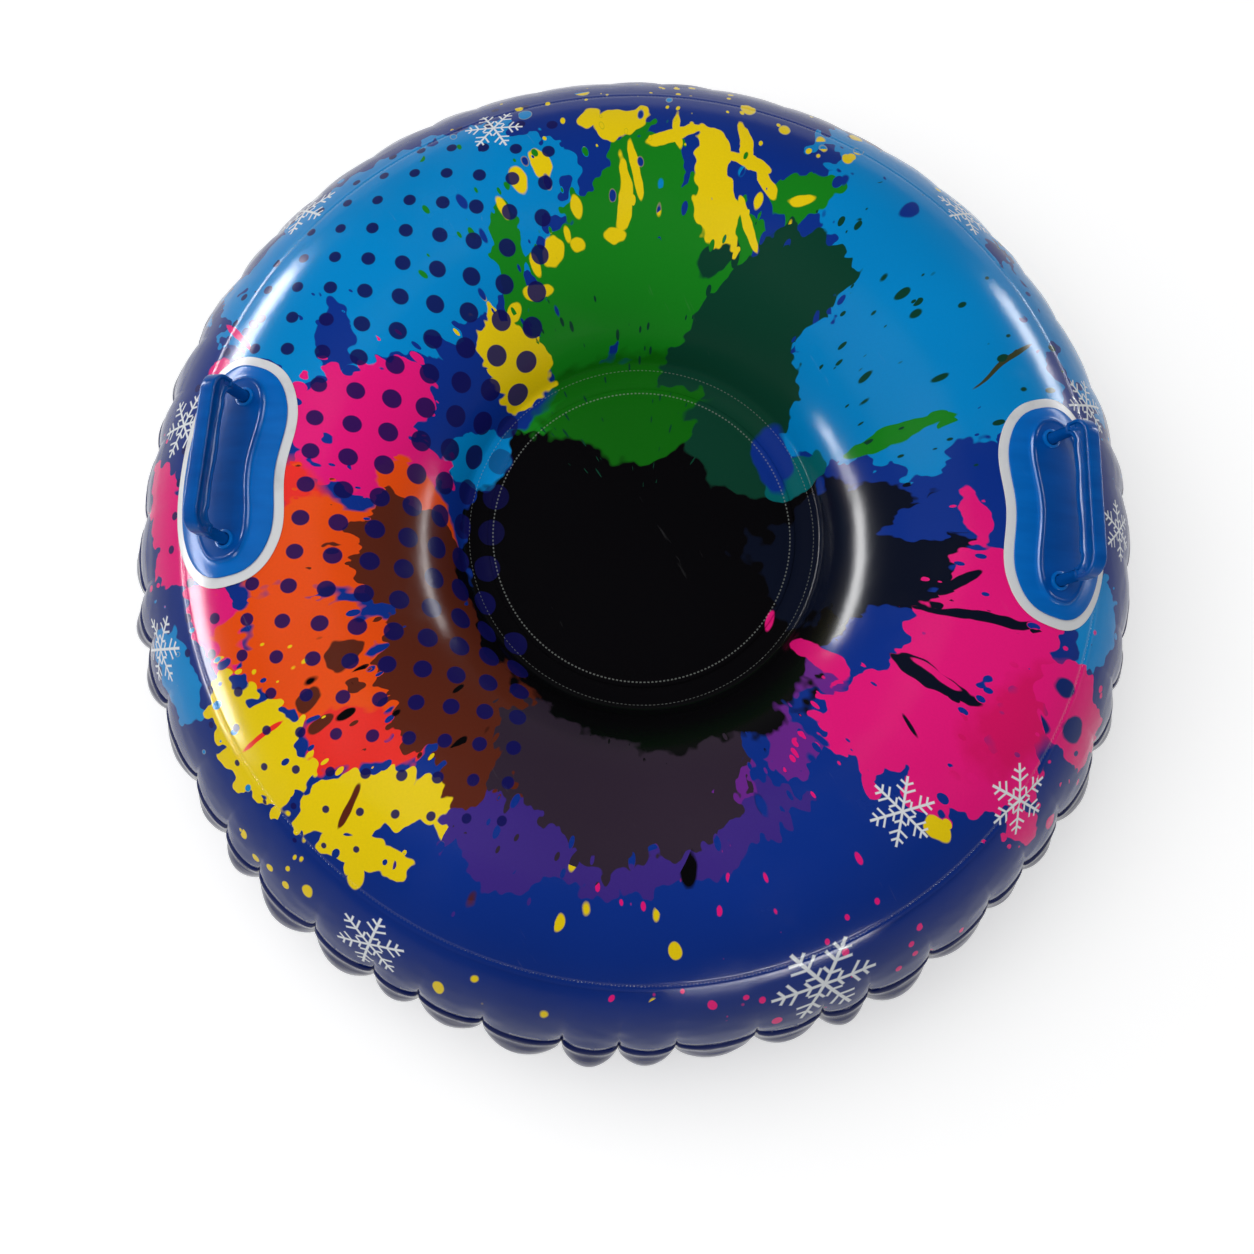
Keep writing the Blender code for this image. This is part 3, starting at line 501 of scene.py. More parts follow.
# The grid of dots: pitch, origin and turn, and the sizes of the dots and the reaches they end at.
DOT_PITCH = (0.0349, 0.0361)
DOT_ORIGIN = (-0.2973, 0.3670)
DOT_TURN = math.radians(-3.7)
DOT_LARGE, DOT_SMALL, DOT_EDGE = 0.0132, 0.0050, 0.0009
DOT_NEAR, DOT_FAR, DOT_END = 0.19, 0.50, 0.505
DOT_SIDE, DOT_FOOT = -0.118, -0.36
# How the inks were thrown, and how their edges wander and fray.
THROW_ROUND, THROW_OUT = 0.42, 0.58
THROW_START, THROW_FULL, THROW_STRENGTH = 0.20, 0.34, 1.2
WANDER, COARSE_RAG, FINE_RAG, MOST_RAG, RAG_REACH = 0.045, 1.3, 1.0, 1.3, 5.4
DROP_SHAKE, DROP_LEAST, DROP_VARIES, DROP_RAG, DROP_EDGE = 0.02, 0.3, 0.7, 0.35, 0.05
DROP_SHARE, SPECK_STRENGTH = 0.6, 0.66
# The arms and twigs of a snowflake, in shares of its reach. A twig is its root and its length.
ARM_HALF_WIDTH, ARM_LENGTH, TWIG_HALF_WIDTH, TWIG_TURN = 0.036, 0.96, 0.030, math.pi / 3
TWIGS = ((0.24, 0.20), (0.50, 0.30), (0.72, 0.20))
SHADE_DEPTH, SPECKLE_DEPTH = 0.45, 0.10

tube_print, given, put = new_group("tube print", [("Place", "vector")], [("Colour", "colour")])
tree = tube_print
sheet = use_group(tree, flat_sheet, Place=given["Place"])
flat, reach = sheet["Flat"], sheet["Reach"]
heading = vectors(tree, "NORMALIZE", flat)
heading = vectors(tree, "MULTIPLY", heading, (THROW_ROUND, THROW_ROUND, 0))
# Round the ring and outwards, with outward sizes drawn out, for everything that was flung.
outward = combined(tree, 0.0, 0.0, calc(tree, "MULTIPLY", reach, THROW_OUT))
flung = vectors(tree, "ADD", heading, outward)
wander = vectors(tree, "SUBTRACT", grained(tree, flat, 9, 1)[1], (0.5, 0.5, 0.5))
bent = vectors(tree, "MULTIPLY_ADD", wander, (WANDER, WANDER, 0), flat)
rag = calc(tree, "MULTIPLY", grained(tree, flat, 17, 1)[0], COARSE_RAG)
rag = calc(tree, "MULTIPLY_ADD", grained(tree, flat, 52, 1)[0], FINE_RAG, rag)
thrown = mapped(tree, reach, THROW_START, THROW_FULL, 0.0, THROW_STRENGTH)
rag = calc(tree, "MULTIPLY_ADD", grained(tree, flung, 62, 1)[0], thrown, rag)
shade = grained(tree, flat, 3.2, 2)[0]


def drops(scale, share, size, shift):
    """Mask of drops: one in each kept cell, drawn out away from the middle of the tube."""
    cells = tree.nodes.new("ShaderNodeTexVoronoi")
    shaky = vectors(tree, "MULTIPLY_ADD", wander, (DROP_SHAKE,) * 3, flung)
    feed(tree, vectors(tree, "ADD", shaky, (shift, 0, 0)), cells.inputs["Vector"])
    cells.inputs["Scale"].default_value = scale
    draw = split(tree, cells.outputs["Color"])
    radius = calc(tree, "MULTIPLY_ADD", draw["Y"], size * DROP_VARIES, size * DROP_LEAST)
    radius = calc(tree, "MULTIPLY_ADD", rag, size * DROP_RAG, radius)
    kept = calc(tree, "LESS_THAN", draw["X"], share)
    gap = calc(tree, "SUBTRACT", radius, cells.outputs["Distance"])
    return calc(tree, "MULTIPLY", mapped(tree, gap, 0.0, DROP_EDGE), kept)


# Kinds of drops: cells per metre, share of the cells kept, size, and shift of the field.
FLUNG = {
    "speck": drops(80, 0.34, 0.34, 0),
    "drop": drops(44, 0.42, 0.34, 3),
    "splat": drops(36, 0.60, 0.33, 5),
    "blob": drops(24, 0.60, 0.30, 7),
}
# Specks thrown from a splash lie round it in its own ink, and as many bare spots lie within it.
specks = calc(tree, "MULTIPLY_ADD", FLUNG["drop"], DROP_SHARE, FLUNG["speck"])
specks = calc(tree, "SUBTRACT", specks, drops(64, 0.30, 0.34, 9))
rag = calc(tree, "MULTIPLY_ADD", calc(tree, "MULTIPLY", specks, SPECK_STRENGTH), thrown, rag)
rag = calc(tree, "MINIMUM", rag, MOST_RAG)

# Down the outer side towards the rim the base blue darkens to night blue: painted shade, deep enough to
# offset the pale reflection that side takes.
colour = mixed(tree, mapped(tree, reach, 0.40, 0.60), INKS["royal"], INKS["night_and_rim_shade"])
printed = [(name, *splash) for name, *run in SPLASHES for splash in run]
for number, (name, u, v, half_length, half_width, turn, ragged, *softness) in enumerate(printed):
    if number % 30 == 29:
        # A trace of the colour in the place makes the next splashes wait for the ones before, as
        # the renderer can hold only so many values at once.
        bent = vectors(tree, "MULTIPLY_ADD", colour, (1e-6, 1e-6, 0), bent)
    # The ball texture falls from one to nothing at twice the reach of the splash.
    size = (2 * half_length / MILLIMETRES, 2 * half_width / MILLIMETRES)
    ball = tree.nodes.new("ShaderNodeTexGradient")
    ball.gradient_type = "SPHERICAL"
    local = placed(tree, bent, (u / MILLIMETRES, v / MILLIMETRES), math.radians(turn), size)
    feed(tree, local, ball.inputs["Vector"])
    mean = math.sqrt(half_length * half_width) / MILLIMETRES
    soft = softness[0] if softness else CRISP
    sharpness = 0.5 * MILLIMETRES / soft
    rise, start = 2 * mean * sharpness, 0.5 - mean * sharpness
    share = calc(tree, "MULTIPLY_ADD", ball.outputs["Fac"], rise, start)
    # A small splash frays less, or its edge would leave the reach of its ball.
    ragged = min(ragged, (mean * MILLIMETRES - soft) / RAG_REACH)
    share = calc(tree, "MULTIPLY_ADD", rag, 4.0 * ragged * sharpness / MILLIMETRES, share)
    colour = mixed(tree, share, colour, INKS[name])

for name, kind, u, v, half_length, half_width in SPATTERS:
    size = (half_length / MILLIMETRES, half_width / MILLIMETRES)
    local = placed(tree, bent, (u / MILLIMETRES, v / MILLIMETRES), 0, size)
    near = calc(tree, "LESS_THAN", vectors(tree, "LENGTH", local), 1.0)
    colour = mixed(tree, calc(tree, "MULTIPLY", near, FLUNG[kind]), colour, INKS[name])

# A grid of round dots, large by the seat and small at the rim, down the left side.
grid = placed(tree, flat, DOT_ORIGIN, DOT_TURN, DOT_PITCH)
middle = vectors(tree, "FLOOR", vectors(tree, "ADD", grid, (0.5, 0.5, 0)))
off = vectors(tree, "MULTIPLY", vectors(tree, "SUBTRACT", grid, middle), (*DOT_PITCH, 0))
spot = placed(tree, middle, DOT_ORIGIN, DOT_TURN, DOT_PITCH, "POINT")
spot_x, spot_y = split(tree, spot)[:2]
size = mapped(tree, vectors(tree, "LENGTH", spot), DOT_NEAR, DOT_FAR, DOT_LARGE, DOT_SMALL)
low = mapped(tree, spot_y, -0.34, -0.15, 0.60, 1.0)
size = calc(tree, "MULTIPLY", size, low)
dot = mapped(tree, calc(tree, "SUBTRACT", size, vectors(tree, "LENGTH", off)), 0.0, DOT_EDGE)
left_side = calc(tree, "LESS_THAN", spot_x, DOT_SIDE)
above = calc(tree, "GREATER_THAN", spot_y, DOT_FOOT)
within = calc(tree, "LESS_THAN", vectors(tree, "LENGTH", spot), DOT_END)
side = calc(tree, "MULTIPLY", calc(tree, "MULTIPLY", left_side, above), within)
strength = mapped(tree, vectors(tree, "LENGTH", spot), 0.14, DOT_NEAR, 0.34, 0.96)
dot = calc(tree, "MULTIPLY", calc(tree, "MULTIPLY", dot, side), strength)
colour = mixed(tree, dot, colour, DOT_INK)

# The six arms of every snowflake are one arm, folded about the middle of the nearest flake.
local = (9.0, 9.0, 0.0)
for index, (u, v, size) in enumerate(FLAKES):
    half = (size / MILLIMETRES, size / MILLIMETRES)
    there = placed(tree, flat, (u / MILLIMETRES, v / MILLIMETRES), 0.35 * index, half)
    near = calc(tree, "LESS_THAN", vectors(tree, "LENGTH", there), 1.1)
    local = mixed(tree, near, local, there, "VECTOR")
away = vectors(tree, "LENGTH", local)
flake_x, flake_y = split(tree, local)[:2]
turned_to = calc(tree, "ARCTAN2", flake_y, flake_x)
fold = calc(tree, "PINGPONG", turned_to, math.pi / 6)
along = calc(tree, "MULTIPLY", away, calc(tree, "COSINE", fold))
aside = calc(tree, "MULTIPLY", away, calc(tree, "SINE", fold))
flake = calc(tree, "SUBTRACT", ARM_HALF_WIDTH, aside)
flake = calc(tree, "MINIMUM", flake, calc(tree, "SUBTRACT", ARM_LENGTH, along))
for root, length in TWIGS:
    forward = calc(tree, "SUBTRACT", along, root)
    twig = calc(tree, "MULTIPLY", forward, math.cos(TWIG_TURN))
    twig = calc(tree, "MULTIPLY_ADD", aside, math.sin(TWIG_TURN), twig)
    off_twig = calc(tree, "MULTIPLY", forward, -math.sin(TWIG_TURN))
    off_twig = calc(tree, "MULTIPLY_ADD", aside, math.cos(TWIG_TURN), off_twig)
    off_twig = calc(tree, "ABSOLUTE", off_twig)
    branch = calc(tree, "SUBTRACT", TWIG_HALF_WIDTH, off_twig)
    branch = calc(tree, "MINIMUM", branch, calc(tree, "SUBTRACT", length, twig))
    branch = calc(tree, "MINIMUM", branch, calc(tree, "ADD", twig, TWIG_HALF_WIDTH))
    flake = calc(tree, "MAXIMUM", flake, branch)
colour = mixed(tree, mapped(tree, flake, -0.008, 0.012), colour, ICE_INK)

# The inks vary slowly over the sheet, and finely as the cloth of a screen leaves them.
tone = calc(tree, "MULTIPLY_ADD", shade, SHADE_DEPTH, 1.0)
tone = calc(tree, "MULTIPLY_ADD", grained(tree, flat, 420, 2)[0], SPECKLE_DEPTH, tone)
feed(tree, scaled(tree, colour, tone), put["Colour"])

# A welded line: a row of fine raised knurls that the welding bar pressed into the sheet.
weld_inputs = [(name, "value") for name in ("Reach", "Radius", "Width", "Knurls")]
weld_line, given, put = new_group(
    "weld line", [("Place", "vector"), *weld_inputs], [("Ridge", "value")]
)
tree = weld_line
x, y = split(tree, given["Place"])[:2]
off = calc(tree, "ABSOLUTE", calc(tree, "SUBTRACT", given["Reach"], given["Radius"]))
line = calc(tree, "SUBTRACT", 1.0, calc(tree, "DIVIDE", off, given["Width"]))
line = calc(tree, "MAXIMUM", line, 0.0)
wave = calc(tree, "SINE", calc(tree, "MULTIPLY", calc(tree, "ARCTAN2", y, x), given["Knurls"]))
knurl = mapped(tree, wave, -0.5, 0.5)
feed(tree, calc(tree, "MULTIPLY", line, knurl), put["Ridge"])

# Handled vinyl: smudges that dull the gloss, dust in the low places and a faint calendered grain.
vinyl_surface, given, put = new_group(
    "vinyl surface",
    [("Place", "vector"), ("Colour", "colour"), ("Gloss", "value"), ("Smudge", "value")],
    [("Colour", "colour"), ("Roughness", "value"), ("Height", "value")],
)
DUST, DUST_SHARE = (0.45, 0.46, 0.48, 1), 0.05
SCUFF_TURN, SCUFF_SIZE = 0.6, (0.012, 0.12)
GRAIN_HEIGHT, RIPPLE_HEIGHT = 0.10, 0.55
tree = vinyl_surface
smudges = mapped(tree, grained(tree, given["Place"], 7, 5, 0.62)[0], 0.02, 0.22)
streaks = placed(tree, given["Place"], (0, 0), SCUFF_TURN, SCUFF_SIZE)
scuffs = mapped(tree, grained(tree, streaks, 1.0, 4, 0.7)[0], 0.19, 0.26)
worn = calc(tree, "MULTIPLY", calc(tree, "MAXIMUM", smudges, scuffs), given["Smudge"])
feed(tree, calc(tree, "ADD", given["Gloss"], worn), put["Roughness"])
dusty = calc(tree, "MULTIPLY", scuffs, DUST_SHARE)
feed(tree, mixed(tree, dusty, given["Colour"], DUST), put["Colour"])
grain = calc(tree, "MULTIPLY", grained(tree, given["Place"], 900, 2)[0], GRAIN_HEIGHT)
ripples = grained(tree, given["Place"], 38, 2)[0]
feed(tree, calc(tree, "MULTIPLY_ADD", ripples, RIPPLE_HEIGHT, grain), put["Height"])


def handled(tree, shader, place, colour, gloss, smudge, bump, strength, bend, ridges=None):
    """Puts a colour on a shader as handled vinyl, with bumps from its grain and its weld ridges."""
    worn = use_group(tree, vinyl_surface, Place=place, Colour=colour, Gloss=gloss, Smudge=smudge)
    feed(tree, worn["Colour"], shader.inputs["Base Color"])
    feed(tree, worn["Roughness"], shader.inputs["Roughness"])
    bumped = tree.nodes.new("ShaderNodeBump")
    bumped.inputs["Distance"].default_value = bump
    bumped.inputs["Strength"].default_value = strength
    height = worn["Height"] if ridges is None else calc(tree, "ADD", worn["Height"], ridges)
    feed(tree, height, bumped.inputs["Height"])
    feed(tree, bumped.outputs[0], shader.inputs["Normal"])
    shader.inputs["IOR"].default_value = bend


WELD_TINT = (0.50, 0.54, 0.50, 1)


def vinyl(name, welds, gloss, smudge, plain=None, bump=0.0006, bend=1.28):
    """Vinyl sheet, printed or plain, with its weld lines as (radius, width, knurls, lightness)."""
    material, tree, shader = new_material(name)
    place = tree.nodes.new("ShaderNodeTexCoord").outputs["Object"]
    colour = plain(tree, place) if plain else use_group(tree, tube_print, Place=place)["Colour"]
    reach = use_group(tree, flat_sheet, Place=place)["Reach"]
    ridges = 0.0
    for radius, width, knurls, lightness in welds:
        sizes = {"Reach": reach, "Radius": radius, "Width": width, "Knurls": knurls}
        ridge = use_group(tree, weld_line, Place=place, **sizes)["Ridge"]
        colour = mixed(tree, calc(tree, "MULTIPLY", ridge, lightness), colour, WELD_TINT)
        ridges = calc(tree, "ADD", ridge, ridges)
    handled(tree, shader, place, colour, gloss, smudge, bump, 0.5, bend, ridges)
    return material


SEAT_WELD = (SEAT_WELD_RADIUS + 0.0005, 0.0010, 270, 0.30)
SHOULDER_REACH = SEAT_WELD_RADIUS + SECTION_RADIUS * (SHOULDER_ANGLE + SEAT_ANGLE) - GROOVE_BACK
SHOULDER_WELD = (SHOULDER_REACH, 0.0014, 800, 0.06)
top_vinyl = vinyl("printed_top_vinyl", [SEAT_WELD, SHOULDER_WELD], 0.16, 0.16)
dress(top_skin, [top_vinyl], "top_skin")

# Side band: printed vinyl, lapped under the top skin at the shoulder. The rim seam draws it in at
# uneven pinches, where it creases, and it puffs out between them.
SIDE_SHEET = 0.0008
SIDE_OUT = -(TOP_SHEET + 0.0006)
SIDE_LAP = 0.008
PINCHES, PUFF_STEPS = 48, 18
PINCH_WANDER, PINCH_WAVES, CROWDING = 0.15, 14, 0.55
FULNESS_VARIES, FULNESS_WAVES, FULL_TOP, FULL_RIM = 0.18, 10, 0.85, 0.5
CREASES_ROUND, CREASES_DOWN = 26, 14
EDGE_DROP = 0.0042
PUFF_SLOW, PUFF_SUDDEN, PINCH_DEPTH, CREASE_DEPTH = 0.0008, 0.0034, 0.0036, 0.0006
BAND_ROWS = 22


def pinch_angle(index):
    """Angle round the ring of a pinch of the rim seam."""
    turn = math.tau * index / PINCHES
    return turn + PINCH_WANDER * math.tau / PINCHES * math.sin(PINCH_WAVES * turn)


rim_angles, rim_shares, rim_fulness = [], [], []
for index in range(PINCHES * PUFF_STEPS):
    puff, part = divmod(index, PUFF_STEPS)
    share = part / PUFF_STEPS
    # Columns crowd towards the pinches, where the creases are narrow.
    spread = (1 - CROWDING) * share + CROWDING * (0.5 - 0.5 * math.cos(math.pi * share))
    start, end = pinch_angle(puff), pinch_angle(puff + 1)
    rim_angles.append(start + (end - start) * spread)
    rim_shares.append(spread)
    wave = math.sin(FULNESS_WAVES * math.tau * puff / PINCHES)
    rim_fulness.append(1 + FULNESS_VARIES * wave)


def lobe(column, roundness):
    """How far a column has swelled: nothing at a pinch, about one at the middle of a puff."""
    return max(math.sin(math.pi * rim_shares[column]), 0) ** roundness * rim_fulness[column]


def crease_noise(column, height, size):
    """Uneven creases that run up and down the rim."""
    turn = rim_angles[column]
    x, y = math.cos(turn) * CREASES_ROUND, math.sin(turn) * CREASES_ROUND
    return size * noise.noise(Vector((x, y, height * CREASES_DOWN)))


def puffed(angle, out, swell, pinch, roundness, drop=0.0, wrinkle=0.0):
    """A crown row that swells between the pinches, is drawn in at them, and sags by drop."""

    def profile(column):
        rise = lobe(column, roundness)
        reach = out - pinch + (swell + pinch) * rise + crease_noise(column, angle, wrinkle)
        radius, height = crown_point(angle, reach)
        return radius, height - drop * rise

    return profile


rows = [steady(*crown_point(SHOULDER_ANGLE - SIDE_LAP / SECTION_RADIUS, SIDE_OUT))]
for step in range(BAND_ROWS + 1):
    share = step / BAND_ROWS
    angle = SHOULDER_ANGLE + (SEAM_ANGLE - SHOULDER_ANGLE) * share
    swell = PUFF_SLOW * share + PUFF_SUDDEN * share**4
    pinch, drop, crease = PINCH_DEPTH * share**4, EDGE_DROP * share**4.8, CREASE_DEPTH * share
    roundness = FULL_TOP + (FULL_RIM - FULL_TOP) * share
    rows.append(puffed(angle, SIDE_OUT, swell, pinch, roundness, drop, crease))
# The rounded edge at the seam, and the inner face of the sheet a little way back from it.
full = (PUFF_SLOW + PUFF_SUDDEN, PINCH_DEPTH, FULL_RIM, EDGE_DROP)
back = (0.0038, 0.0030, FULL_RIM, 0.0038)
inner_out = SIDE_OUT - SIDE_SHEET
ends = ((0.0004, SIDE_OUT - 0.0003, full), (0.0003, inner_out, full), (-0.004, inner_out, back))
for past, out, sizes in ends:
    rows.append(puffed(SEAM_ANGLE + past / SECTION_RADIUS, out, *sizes))
side_skin = lathe("printed_side_band", rows, rim_angles)
side_vinyl = vinyl("printed_side_vinyl", [], 0.14, 0.14, bend=1.18)
dress(side_skin, [side_vinyl], "side_skin")

# Base skin: thicker plain navy vinyl. It hangs in a scallop between every two pinches, with folds
# nested inside each other, runs under the tube and up the wall of the hollow to the seat.
BASE_SHEET = 0.0012
RIM_OUT = SIDE_OUT - SIDE_SHEET - 0.0009
LAP_ANGLE = SEAM_ANGLE - 0.011 / SECTION_RADIUS
edge_angle = SEAM_ANGLE + 0.0020 / SECTION_RADIUS
FOLD_STEPS = 7
RIPPLE_DEPTH, RIPPLES, RIPPLE_END, RIPPLE_RISE = 0.0016, 4.2, 0.75, 1.6
FOLD_CREASE, FOLD_FULL_TOP, FOLD_FULL_FOOT = 0.0010, 0.36, 0.70


def smooth_path(points, steps):
    """Points on a smooth curve through the given points."""
    found = []
    count = len(points)
    for index in range(count - 1):
        before = points[max(index - 1, 0)]
        here, there = points[index], points[index + 1]
        after = points[min(index + 2, count - 1)]
        for step in range(steps):
            t = step / steps
            spot = []
            for a, b, c, d in zip(before, here, there, after):
                bow = (2 * a - 5 * b + 4 * c - d) * t * t + (3 * b - a - 3 * c + d) * t**3
                spot.append(0.5 * (2 * b + (c - a) * t + bow))
            found.append(tuple(spot))
    found.append(tuple(points[-1]))
    return found


def lowered(point, drop):
    """A (radius, height) point, let down."""
    return point[0], point[1] - drop


# The profile from the seam down to the ground, at a pinch and over a full puff.
pinched = [
    crown_point(edge_angle, RIM_OUT - PINCH_DEPTH),
    crown_point(edge_angle + 0.006 / SECTION_RADIUS, RIM_OUT - 0.0040),
    crown_point(edge_angle + 0.016 / SECTION_RADIUS, -0.0048),
    base_point(math.radians(88), -0.0046),
    base_point(math.radians(80), -0.0040),
    base_point(math.radians(70), -0.0015),
    base_point(math.radians(50), 0),
]
puffed_out = [
    lowered(crown_point(edge_angle, RIM_OUT + PUFF_SLOW + PUFF_SUDDEN), EDGE_DROP),
    lowered(crown_point(edge_angle + 0.004 / SECTION_RADIUS, 0.0008), EDGE_DROP),
    lowered(crown_point(edge_angle + 0.016 / SECTION_RADIUS, 0.0046), EDGE_DROP),
    base_point(math.radians(89), 0.0098),
    base_point(math.radians(81), 0.0160),
    base_point(math.radians(70), 0.0128),
    base_point(math.radians(50), 0),
]
pinched_path = smooth_path(pinched, FOLD_STEPS)
puffed_path = smooth_path(puffed_out, FOLD_STEPS)


def fold_row(index):
    """A row of the scallops, between its place at a pinch and its place on a full puff."""
    low, high = pinched_path[index], puffed_path[index]
    share = index / (len(pinched_path) - 1)
    ripple = RIPPLE_DEPTH * math.sin(math.tau * RIPPLES * share) * max(1 - share / RIPPLE_END, 0)

    def profile(column):
        rise = lobe(column, FOLD_FULL_TOP + (FOLD_FULL_FOOT - FOLD_FULL_TOP) * share)
        folds = ripple * min(rise * RIPPLE_RISE, 1)
        wander = crease_noise(column, share * 3, FOLD_CREASE * (1 - share))
        radius = low[0] + (high[0] - low[0]) * rise + folds + wander
        return radius, low[1] + (high[1] - low[1]) * rise

    return profile


rows = [puffed(LAP_ANGLE, RIM_OUT, 0.0030, 0.0024, 0.6)]
rows += [fold_row(index) for index in range(len(pinched_path))]
for degrees in (47, 44, 41, 38, 35, 32):
    rows.append(steady(*base_point(math.radians(degrees))))
# The flat that lies on the snow, then the wall of the hollow and the flange under the seat.
for reach, height in ((0.0395, 0.0004), (0.032, 0), (-0.032, 0), (-0.0395, 0.0004)):
    rows.append(steady(RING_RADIUS + reach, height))
for degrees in range(-30, -91, -4):
    rows.append(steady(*base_point(math.radians(degrees))))
for degrees in (-86, -82, -78, -74, -71, -69, -67.5):
    rows.append(steady(*crown_point(math.radians(degrees))))
under_top = SEAT_HEIGHT - TOP_SHEET - 0.0003
flange = ((0.1698, -0.0010), (0.169, 0), (0.150, 0), (0.1255, 0), (0.125, 0.0003), (0.125, 0.0011))
rows += [steady(radius, under_top - BASE_SHEET + rise) for radius, rise in flange]
base_skin = lathe("navy_base_skin", rows, rim_angles)

# The boss of the valve comes through a round hole in the wall of the hollow.
VALVE_HEIGHT = 0.112
VALVE_HOLE_RADIUS = 0.0225
WALL_END = 0.20
bm = bmesh.new()
bm.from_mesh(base_skin.data)
covered = []
for face in bm.faces:
    middle = face.calc_center_median()
    off_axis = math.hypot(middle.x, middle.z - VALVE_HEIGHT)
    if 0 < middle.y < WALL_END and off_axis < VALVE_HOLE_RADIUS:
        covered.append(face)
bmesh.ops.delete(bm, geom=covered, context="FACES")
bm.to_mesh(base_skin.data)
bm.free()

NAVY = ink(8, 20, 74)
NAVY_PALE = ink(14, 33, 100)


def navy(tree, place):
    """Through-dyed navy, a little paler where the sheet is stretched."""
    return mottled(tree, place, (5, 3), -0.2, 0.25, NAVY, NAVY_PALE)


navy_vinyl = vinyl("navy_vinyl", [], 0.09, 0.14, navy, bend=1.14)
dress(base_skin, [navy_vinyl], "base_skin")

# Seat disc: a round of printed vinyl that closes the ring, laid on the top skin's flange and
# welded to it in a circle near its edge.
SEAT_SHEET = 0.0012
DISC_WELD_RADIUS = 0.1450
DISC_WELD = (DISC_WELD_RADIUS, 0.0009, 240, 0.40)
SAG_DEPTH, SAG_WAVES, SAG_END = 0.0005, 16, 0.14
DISC_RADII = (0.0005, 0.01, 0.02, 0.035, 0.05, 0.065, 0.08, 0.095, 0.11, 0.125)
# From the flat past the weld groove and over the edge to the under side: radius and depth.
DISC_EDGE = (
    (0.135, 0), (0.1405, 0), (0.1425, 0.0003), (0.1436, 0), (0.1443, 0.0003),
    (DISC_WELD_RADIUS, 0.0005), (0.1457, 0.0003), (0.1464, 0), (0.148, 0), (0.1494, 0.0001),
    (0.1499, 0.0004), (0.150, 0.0007), (0.1498, SEAT_SHEET), (0.120, SEAT_SHEET), (0.0005, SEAT_SHEET),
)
disc_top = SEAT_HEIGHT + 0.0003 + SEAT_SHEET


def sagging(radius, height):
    """A row of the disc, with slow shallow waves that fade towards the weld."""

    def profile(column):
        turn = even_angles[column]
        spot = Vector((math.cos(turn), math.sin(turn), 0)) * radius * SAG_WAVES
        return radius, height + SAG_DEPTH * noise.noise(spot) * max(1 - radius / SAG_END, 0)

    return profile


rows = [sagging(radius, disc_top) for radius in DISC_RADII]
rows += [steady(radius, disc_top - depth) for radius, depth in DISC_EDGE]
seat_disc = lathe("printed_seat_disc", rows, even_angles)
bm = bmesh.new()
bm.from_mesh(seat_disc.data)
bmesh.ops.holes_fill(bm, edges=bm.edges, sides=TOP_COLUMNS)
bmesh.ops.recalc_face_normals(bm, faces=bm.faces)
for face in bm.faces:
    # Only the upper side of the sheet was printed.
    face.material_index = 1 if face.normal.z < -0.5 else 0
bm.to_mesh(seat_disc.data)
bm.free()
dress(seat_disc, [vinyl("seat_vinyl", [DISC_WELD], 0.15, 0.14), navy_vinyl], "seat_disc")

# Handle patches: a white vinyl sheet under each moulding, bent over the outer shoulder of the ring
# and welded to the top skin. It shows as a narrow border.
HANDLE_LEAN = math.radians(22.3)
HANDLE_SWING = math.radians(3.2)
HANDLE_REACH = RING_RADIUS + SECTION_RADIUS * math.sin(HANDLE_LEAN)
PATCH_HALF_LENGTH, PATCH_HALF_WIDTH = 0.111, 0.0615
PATCH_LOW, PATCH_HIGH = 0.0005, 0.0011
PLATE_SPINE, PLATE_POINTS, PLATE_SQUARENESS, RING_STEP = 0.0063, 160, 2.6, 0.006
WAIST_FAR, WAIST_NEAR, WAIST_REACH = 0.0015, 0.0066, 0.075
WHITE_CLEAN, WHITE_HANDLED = (0.76, 0.77, 0.78, 1), (0.62, 0.63, 0.64, 1)
QUARTER = math.pi / 2
handles = (("right", HANDLE_SWING), ("left", math.pi - HANDLE_SWING))


def on_shoulder(along, across, out, handle_angle):
    """A point of a sheet bent over the shoulder, by its place along, across and out of the skin."""
    angle = handle_angle + along / HANDLE_REACH
    radius, height = crown_point(HANDLE_LEAN + across / SECTION_RADIUS, out)
    return Vector((radius * math.cos(angle), radius * math.sin(angle), height))


def plate_outline(half_length, half_width):
    """A long rounded plate, narrower at its waist."""
    power = 2 / PLATE_SQUARENESS
    points = []
    for index in range(PLATE_POINTS):
        turn = math.tau * index / PLATE_POINTS
        along = math.copysign(abs(math.cos(turn)) ** power, math.cos(turn)) * half_length
        across = abs(math.sin(turn)) ** power * half_width
        # The side towards the seat is the hollow side of the kidney shape.
        depth = WAIST_FAR if math.sin(turn) > 0 else WAIST_NEAR
        waist = depth * math.cos(QUARTER * min(abs(along) / WAIST_REACH, 1)) ** 2
        across = max(across - waist * across / half_width, 0)
        points.append((along, math.copysign(across, math.sin(turn))))
    return points


def inward(half_length, half_width, out):
    """Rings from an edge inwards, narrow enough for a bent sheet to follow the skin."""
    strips = math.ceil((half_width - PLATE_SPINE) / RING_STEP)
    insets = [(half_width - PLATE_SPINE) * index / strips for index in range(strips + 1)]
    return [(half_length - inset, half_width - inset, out) for inset in insets]


def join_rings(bm, first, second, material=0):
    """Quads between two rings of vertices."""
    for index in range(len(first)):
        after = (index + 1) % len(first)
        face = bm.faces.new((first[index], first[after], second[after], second[index]))
        face.material_index = material


